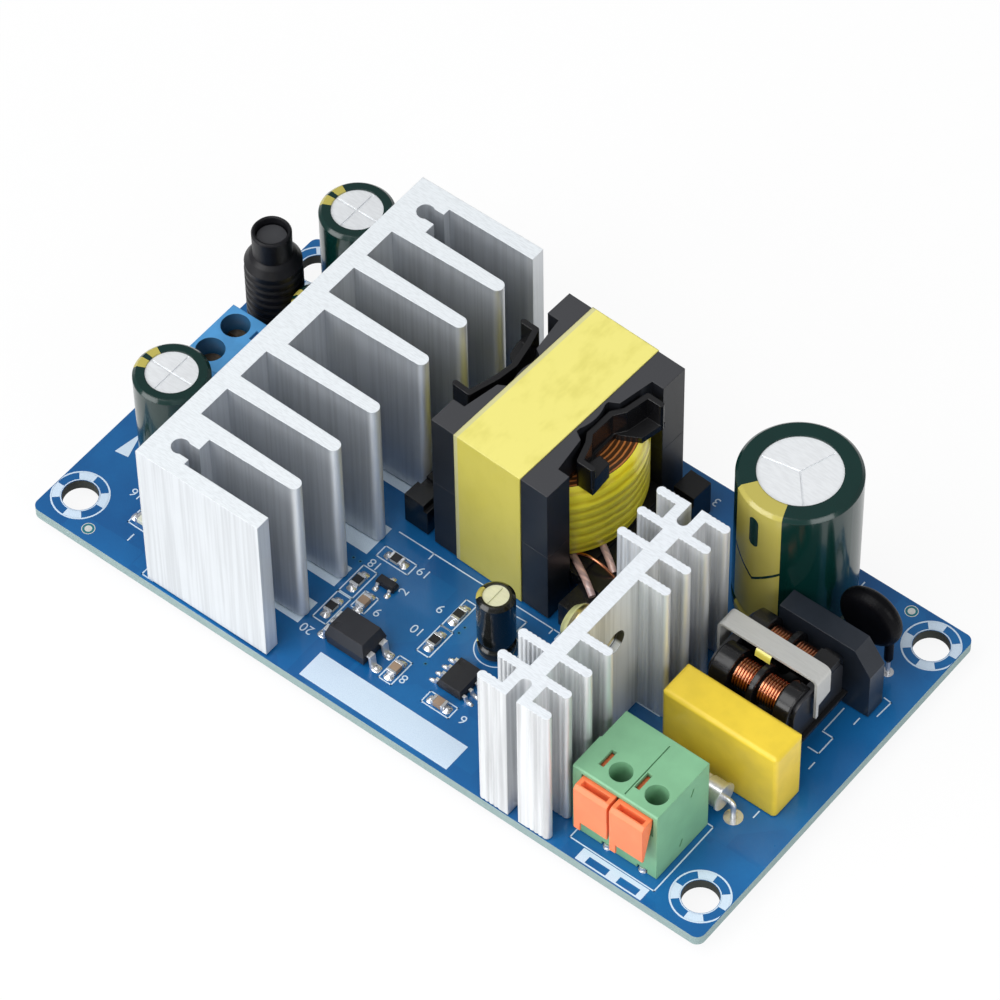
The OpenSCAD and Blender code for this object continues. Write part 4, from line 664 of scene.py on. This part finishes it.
# %% Tuck in a scrap of tape
bends = [(31.3, 13.66), (30.9, 13.6), (30.72, 13.3), (30.62, 12.9), (30.58, 12.5)]
scrap = [(x, y, z) for y, z in bends for x in (92.0, 94.3)]
scrap_faces = [(2 * k, 2 * k + 1, 2 * k + 3, 2 * k + 2) for k in range(len(bends) - 1)]
add("choke_tape_scrap", mesh_of("choke_tape_scrap", scrap, scrap_faces, True), tape_finish)
print(len(scrap_faces), "strips of film")

# %% [markdown]
# ## The transformer's free ends
#
# Three winding ends come out under the coil and run out to the rail of pins. Two wear clear sleeving,
# which looks pinkish over the copper, and one is bare enamelled wire. Short smooth paths give them the
# slack of wire bent by hand.

# %% Bend the wire ends
sleeving = Finish("clear sleeving")
streaks = sleeving.grain(0.8, 2, sleeving.stretched(0.4, 2, 2))
sleeving_finish = sleeving.surface(
    Base_Color=sleeving.blend((0.40, 0.27, 0.26), (0.80, 0.52, 0.44), sleeving.between(streaks, 0.35, 0.65)),
    Roughness=0.2,
    Coat_Weight=0.8,
)
sleeved = [
    smooth_path([(61.8, 33.0, 6.0), (63.4, 32.1, 6.1), (65.6, 30.9, 5.8), (67.55, 29.75, 5.1)]),
    smooth_path([(63.4, 36.8, 6.0), (64.6, 36.0, 6.1), (66.1, 35.1, 5.8), (67.45, 34.25, 5.2)]),
]
sleeved_data = wire_data("transformer_sleeved_wires", sleeved, 0.5)
wires = add("transformer_sleeved_wires", sleeved_data, sleeving_finish)
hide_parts("transformer_wires")
thin = [smooth_path([(62.3, 33.3, 6.2), (64.2, 33.5, 6.7), (66.2, 33.6, 6.3), (68.0, 33.75, 5.1)])]
add("transformer_thin_wire", wire_data("transformer_thin_wire", thin, 0.2), copper_finish)
print(len(sleeved), "sleeved ends,", len(thin), "bare")

# %% [markdown]
# ## White print on the board
#
# The print is a thin layer of ink: outlines of parts, a few solid fields and some figures. It could be
# painted by the board's own material, but ink edges are crisp at any zoom, so each line is a flat
# shape two hundredths of a millimetre above the lacquer. The shapes are kept as lists of corners.

# %% Shapes of ink
INK_Z = 0.02
ink = Finish("white ink")
speckle = ink.grain(8, 3)
ink_finish = ink.surface(
    Base_Color=ink.blend((0.54, 0.66, 0.80), (0.60, 0.72, 0.85), ink.between(speckle, 0.35, 0.6)),
    Roughness=0.45 + speckle * 0.15,
    Normal=ink.relief(speckle, 0.01),
)


def field(x0, x1, y0, y1):
    return [(x0, y0), (x1, y0), (x1, y1), (x0, y1)]


def line(a, b, width=0.18):
    a, b = Vector(a), Vector(b)
    along = (b - a).normalized() * width / 2
    across = Vector((-along.y, along.x))
    return [a - along - across, b + along - across, b + along + across, a - along + across]


def outline(corners, closed=True, width=0.18):
    ends = corners[1:] + corners[:1] if closed else corners[1:]
    return [line(a, b, width) for a, b in zip(corners, ends)]


def arc_band(x, y, inner, outer, start, end):
    steps = max(4, int(abs(end - start) / 6))
    shapes = []
    for k in range(steps):
        a, b = (math.radians(start + (end - start) * j / steps) for j in (k, k + 1))
        ends = ((inner, a), (outer, a), (outer, b), (inner, b))
        shapes.append([(x + r * math.cos(t), y + r * math.sin(t)) for r, t in ends])
    return shapes


def stamped(name, shapes, finish, z=INK_Z):
    corners, faces = [], []
    for shape in shapes:
        faces.append(list(range(len(corners), len(corners) + len(shape))))
        corners += [(p[0], p[1], z) for p in shape]
    return add(name, mesh_of(name, corners, faces), finish)


# %% [markdown]
# ## Rings round the mounting holes
#
# Each hole has a broad pale ring broken by four blue windows. The ring is drawn as bands: a thin band
# inside, a thin band outside, and four spokes between them. The print stops short of the board's edge.

# %% Print the rings
INNER_BAND, OUTER_BAND, SPOKES, PRINT_LIMITS = (2.46, 2.60), (3.66, 3.88), (2.58, 3.68), (0.1, 106.9)
rings = []
for x, y in HOLES:
    rings += arc_band(x, y, *INNER_BAND, 0, 360) + arc_band(x, y, *OUTER_BAND, 0, 360)
    for window in (68, 158, 248, 338):
        rings += arc_band(x, y, *SPOKES, window + 25, window + 65)
left, right = PRINT_LIMITS
rings = [[(min(max(x, left), right), y) for x, y in shape] for shape in rings]
stamped("hole_rings", rings, ink_finish)
print(len(rings), "ring shapes")

# %% [markdown]
# ## Outlines and fields
#
# The outlines tell the assembler where a part goes and which way round. Most are plain rectangles, so
# a list of corners draws them, and the broad pale fields are single shapes.

# %% Print the outlines and solid fields
shapes = []
for x0, x1, y0, y1 in (
    (39.4, 41.6, 13.9, 18.85), (39.4, 41.55, 8.7, 13.7), (39.7, 44.75, 21.0, 22.95), (53.05, 54.7, 17.55, 22.6),
    (53.0, 55.0, 12.65, 17.5), (51.9, 53.9, 6.5, 10.7), (42.15, 44.3, 12.9, 15.85), (58.4, 62.7, 6.9, 8.85),
    (11.4, 15.0, 5.7, 8.2), (85.5, 98.4, 2.3, 14.2),
):
    shapes += outline(field(x0, x1, y0, y1))
shapes += outline([(39.7, 25.7), (65.6, 25.7), (65.6, 24.6)], False)
shapes += outline([(45.3, 25.7), (45.3, 24.7)], False) + outline([(64.5, 25.7), (64.5, 24.9)], False)
shapes += outline([(59.6, 24.4), (61.2, 24.5), (61.1, 22.4)], False)
shapes += outline([(79.3, 23.3), (83.1, 23.3)], False)
shapes += outline([(103.4, 42.7), (104.5, 42.6), (104.35, 39.9)], False)
shapes += outline([(100.4, 33.9), (102.0, 33.9), (102.0, 30.9), (100.4, 30.9)], False)
shapes += outline([(100.4, 34.2), (100.4, 38.3)], False)
shapes += outline([(18.2, 2.0), (18.2, 0.5), (20.0, 0.5)], False)
shapes += arc_band(60.8, 19.0, 2.82, 2.98, 0, 360)
for y0, y1 in ((6.76, 10.68), (13.94, 17.57), (20.4, 25.5), (30.9, 35.2), (38.2, 43.0), (46.0, 50.6)):
    shapes.append(field(30.0, 38.6, y0, y1))
shapes.append([(2.6, 13.3), (4.6, 13.6), (3.4, 17.7)])
shapes.append(field(43.8, 67.35, 0.75, 5.05))
comb = [(87.85, 97.9, 0.2, 0.42), (87.85, 89.2, 0.42, 2.1), (92.35, 93.95, 0.42, 2.1), (97.0, 97.9, 0.42, 2.1),
        (89.2, 92.35, 1.45, 2.1), (93.95, 97.0, 1.45, 2.1)]
shapes += [field(*f) for f in comb]
stamped("board_print", shapes, ink_finish)
print(len(shapes), "ink shapes")

# %% [markdown]
# ## Figures
#
# Figures number the parts. They are real text objects in Blender's own font, because drawing digits by
# hand gains nothing, and they are turned to run the way they do on the board.

# %% Print the figures
FIGURE_SIZE = 1.9
FIGURES = [
    ("19", 46.2, 22.6, 180), ("18", 40.5, 19.8, 180), ("20", 40.1, 6.8, 180), ("9", 45.5, 14.2, 180),
    ("2", 46.1, 18.7, 90), ("9", 51.4, 19.5, 180), ("10", 51.2, 15.1, 180), ("8", 54.6, 8.2, 180),
    ("6", 64.3, 7.9, 180), ("1", 13.3, 4.1, 180), ("16", 9.4, 9.8, 180), ("3", 68.5, 54.3, 180),
    ("1", 90.9, 55.1, 180), ("1", 102.8, 37.8, 180), ("1", 102.4, 29.0, 180), ("1", 101.4, 19.0, 180),
]
for k, (figure, x, y, turn) in enumerate(FIGURES):
    text = bpy.data.curves.new(f"figure_{k}", "FONT")
    text.body = figure
    text.size = FIGURE_SIZE / 1000
    text.align_x = "CENTER"
    text.align_y = "CENTER"
    piece = bpy.data.objects.new(f"figure_{k}", text)
    scene.collection.objects.link(piece)
    piece.matrix_world = Matrix.Translation(at(x, y, INK_Z)) @ Matrix.Rotation(math.radians(turn), 4, "Z")
    text.materials.append(ink_finish)
    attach(piece, "supply")
print(len(FIGURES), "figures")

# %% [markdown]
# ## Bare metal spots on the board
#
# A few round spots are free of lacquer: two aiming marks for the assembly machine, some through holes
# that join the copper of both faces, and rings of solder where thick leads pass through. Flat discs and
# rings of metal do for all three, laid between the lacquer and the print; the through holes themselves
# are dark discs of painted shade.

# %% Lay out spots and rings
def disc(x, y, radius, sides=24):
    turns = [2 * math.pi * k / sides for k in range(sides)]
    return [(x + radius * math.cos(t), y + radius * math.sin(t)) for t in turns]


RESIN_Z, HOLE_Z, METAL_Z, PAD_Z = 0.008, 0.012, 0.014, 0.016
AIMS = [(8.13, 1.76), (98.2, 55.6)]
VIAS = [(37.64, 18.98), (38.71, 19.03), (55.61, 19.07), (55.55, 17.96), (55.24, 11.69), (44.6, 10.6)]
VIAS += [(47.1, 9.9)]
teal = moulding("bare resin", (0.012, 0.16, 0.20), 0.4, 9)
stamped("aim_fields", [disc(x, y, 0.9) for x, y in AIMS], teal, RESIN_Z)
spots = []
for x, y in AIMS:
    spots += [disc(x, y, 0.5)] + arc_band(x, y, 0.8, 0.9, 0, 360)
stamped("bare_spots", spots, metal("bare tin", (0.80, 0.82, 0.80), 0.35, metallic=0.4), METAL_Z)
rims = [shape for x, y in VIAS for shape in arc_band(x, y, 0.14, 0.30, 0, 360)]
stamped("via_rims", rims, moulding("lacquered rim", (0.015, 0.15, 0.30), 0.3, 9), METAL_Z)
# painted shade: a dark disc stands for the shade inside each through hole
hole_shade = moulding("dark hole", (0.004, 0.01, 0.02), 0.8)
stamped("via_holes", [disc(x, y, 0.15) for x, y in VIAS], hole_shade, HOLE_Z)
pads = []
for x, y, lead, reach in ((99.4, 16.9, 0.42, 1.25), (101.35, 46.15, 0.36, 0.8), (95.45, 46.15, 0.36, 0.8)):
    pads += arc_band(x, y, lead, reach, 0, 360)
stamped("lead_pads", pads, solder, PAD_Z)
print(len(AIMS), "aims,", len(VIAS), "through holes,", len(pads), "pad pieces")

# %% [markdown]
# ## Solder on the small parts
#
# A chip part sits on two pads, and the solder climbs its metal ends in a smooth slope. The slope is
# what catches the light, so each joint is a small lathed mound: a circle of rings that get smaller
# and higher, stretched to the pad's shape, and shaded smooth.

# %% Raise solder mounds
BOXY, BULGE, FOOT_Z = 0.6, 1.8, 0.02


def mound(corners, faces, x, y, rx, ry, height, rings=5, sides=20):
    start = len(corners)
    for k in range(rings):
        t = k / rings
        for j in range(sides):
            turn = 2 * math.pi * j / sides
            c, s = math.cos(turn), math.sin(turn)
            square = 1 / max(abs(c), abs(s)) ** BOXY
            reach = (1 - t) * square
            corners.append((x + rx * c * reach, y + ry * s * reach, FOOT_Z + height * (1 - (1 - t) ** BULGE)))
    corners.append((x, y, FOOT_Z + height))
    top = len(corners) - 1
    for k in range(rings - 1):
        for j in range(sides):
            a, b = start + k * sides + j, start + k * sides + (j + 1) % sides
            faces.append((a, b, b + sides, a + sides))
    last = start + (rings - 1) * sides
    for j in range(sides):
        faces.append((last + j, last + (j + 1) % sides, top))


LENGTHWAYS = [(42.23, 21.98), (60.55, 7.88), (13, 6.95)]
CROSSWAYS = [(40.5, 16.38), (40.48, 11.2), (53.88, 20.08), (54, 15.08), (52.9, 8.6), (43.25, 14.2)]
TO_PAD, PAD_LONG, PAD_WIDE, PAD_HIGH = 1.25, 0.6, 0.675, 0.42
corners, faces = [], []
for side in (-1, 1):
    for x, y in LENGTHWAYS:
        mound(corners, faces, x + side * TO_PAD, y, PAD_LONG, PAD_WIDE, PAD_HIGH)
    for x, y in CROSSWAYS:
        mound(corners, faces, x, y + side * TO_PAD, PAD_WIDE, PAD_LONG, PAD_HIGH)
add("chip_solder", mesh_of("chip_solder", corners, faces, True), solder)

# %% [markdown]
# ## Solder at the feet
#
# The controller, the optocoupler and the reference stand on bent feet. Each foot sinks into its own
# small mound, so the same function serves again with a list of places and sizes.

# %% Solder at the feet of three small packages
FEET = [(x, y, 0.66, 0.62, 0.36) for x in (42.2, 50.9) for y in (7.35, 9.85)]
FEET += [(x, y, 0.55, 0.28, 0.32) for x in (57.55, 63.45) for y in (10.27, 11.54, 12.81, 14.08)]
FEET += [(43.87, 19.3, 0.40, 0.45, 0.32), (42.92, 16.9, 0.40, 0.45, 0.32), (44.82, 16.9, 0.40, 0.45, 0.32)]
corners, faces = [], []
for foot in FEET:
    mound(corners, faces, *foot)
add("foot_solder", mesh_of("foot_solder", corners, faces, True), solder)
print(2 * len(LENGTHWAYS + CROSSWAYS) + len(FEET), "mounds")

# %% [markdown]
# ## Camera
#
# The photograph was matched: known points on the board fix where the camera stood. It is a long
# lens, a little over seventy centimetres away, tipped down by just over fifty degrees and rolled by one.

# %% Place the camera
AROUND, DOWN, ROLL = math.radians(39.3219), math.radians(52.4928), math.radians(-1.0515)
back = Vector((math.sin(AROUND) * math.cos(DOWN), -math.cos(AROUND) * math.cos(DOWN), math.sin(DOWN)))
right = Vector((math.cos(AROUND), math.sin(AROUND), 0))
above = back.cross(right)
side = math.cos(ROLL) * right + math.sin(ROLL) * above
head = -math.sin(ROLL) * right + math.cos(ROLL) * above
lens = bpy.data.cameras.new("photo camera")
lens.lens, lens.sensor_width, lens.clip_start, lens.clip_end = 205.58, 36, 0.01, 20
camera = bpy.data.objects.new("photo camera", lens)
scene.collection.objects.link(camera)
spot = at(46.5333, 37.5738, 0) + back * 0.728162
camera.matrix_world = Matrix.Translation(spot) @ Matrix((side, head, back)).transposed().to_4x4()
scene.camera = camera
print("camera at", [round(c, 3) for c in spot])

# %% [markdown]
# ## Light and floor
#
# A product photograph has one large soft light above and pale surroundings for the metal to reflect.
# The floor is white where the camera looks at it directly, and keeps a faint soft shadow because a
# tenth of it is still lit by the lamps.

# %% Lay the floor
scene.view_settings.view_transform = "Standard"
FLOOR_REACH, FLOOR_GAP = 6.0, 0.0002
floor_mesh = bpy.data.meshes.new("floor")
floor_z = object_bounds()[0][2] - FLOOR_GAP
floor_corners = [(x * FLOOR_REACH, y * FLOOR_REACH, floor_z) for x, y in ((-1, -1), (1, -1), (1, 1), (-1, 1))]
floor_mesh.from_pydata(floor_corners, [], [(0, 1, 2, 3)])
floor = bpy.data.objects.new("floor", floor_mesh)
scene.collection.objects.link(floor)
paper = Finish("white paper")
tooth = paper.grain(0.5, 2)
paper.surface(Base_Color=paper.blend((0.86, 0.86, 0.86), (0.9, 0.9, 0.9), tooth), Roughness=0.9)
glow = paper.node("ShaderNodeEmission", sockets={"Color": (1, 1, 1), "Strength": 1.0})
path = paper.tree.nodes.new("ShaderNodeLightPath")
seen = Signal(paper, path.outputs["Is Camera Ray"])
mirrored = Signal(paper, path.outputs["Is Glossy Ray"])
through = Signal(paper, path.outputs["Is Transmission Ray"])
whiten = paper.sum("MINIMUM", seen * 0.9 + mirrored * 0.3 + through * 0.9, 1.0)
matt = Signal(paper, paper.shader.outputs[0])
mixed = paper.node("ShaderNodeMixShader", sockets={0: whiten, 1: matt, 2: glow})
paper.tree.links.new(mixed.socket, paper.tree.nodes["Material Output"].inputs["Surface"])
floor_mesh.materials.append(paper.material)
print("floor at", round(floor_z, 4))

# %% [markdown]
# ## A pale room
#
# The room round the object is what its metal mirrors. It is dimmer for the object than for the camera:
# the background stays white, and the lamps still give the shapes their shading.

# %% A pale room, white only to the camera
SKY_LEVEL = 0.36
world = bpy.data.worlds.new("pale room")
world.use_nodes = True
scene.world = world
sky = world.node_tree.nodes["Background"]
rays = world.node_tree.nodes.new("ShaderNodeLightPath")
mix = world.node_tree.nodes.new("ShaderNodeMix")
mix.data_type = "FLOAT"
mix.inputs[2].default_value = SKY_LEVEL
mix.inputs[3].default_value = 1.0
world.node_tree.links.new(rays.outputs["Is Camera Ray"], mix.inputs[0])
world.node_tree.links.new(mix.outputs[0], sky.inputs["Strength"])
sky.inputs["Color"].default_value = (0.97, 0.985, 1.0, 1)
print("room light", SKY_LEVEL)

# %% [markdown]
# ## Three soft lamps
#
# Cloth-covered boxes stand above, at the right and in front. An area lamp is such a box: its size
# decides how soft the shadows are, and one function turns each lamp towards the object.

# %% Hang the lamps
def soft_lamp(name, spot, aim, width, height, watts):
    data = bpy.data.lights.new(name, "AREA")
    data.shape, data.size, data.size_y, data.energy = "RECTANGLE", width, height, watts
    lamp = bpy.data.objects.new(name, data)
    scene.collection.objects.link(lamp)
    way = (Vector(aim) - Vector(spot)).normalized()
    lamp.matrix_world = Matrix.Translation(spot) @ way.to_track_quat("-Z", "Y").to_matrix().to_4x4()


soft_lamp("overhead", (-0.10, -0.35, 0.75), (0, 0, 0), 0.7, 0.6, 4.4)
soft_lamp("right", (0.80, -0.20, 0.45), (0, 0, 0.01), 0.5, 0.5, 3.2)
soft_lamp("front", (-0.35, -0.75, 0.40), (0, 0, 0.01), 0.6, 0.4, 4.0)
print(len(bpy.data.lights), "lamps")
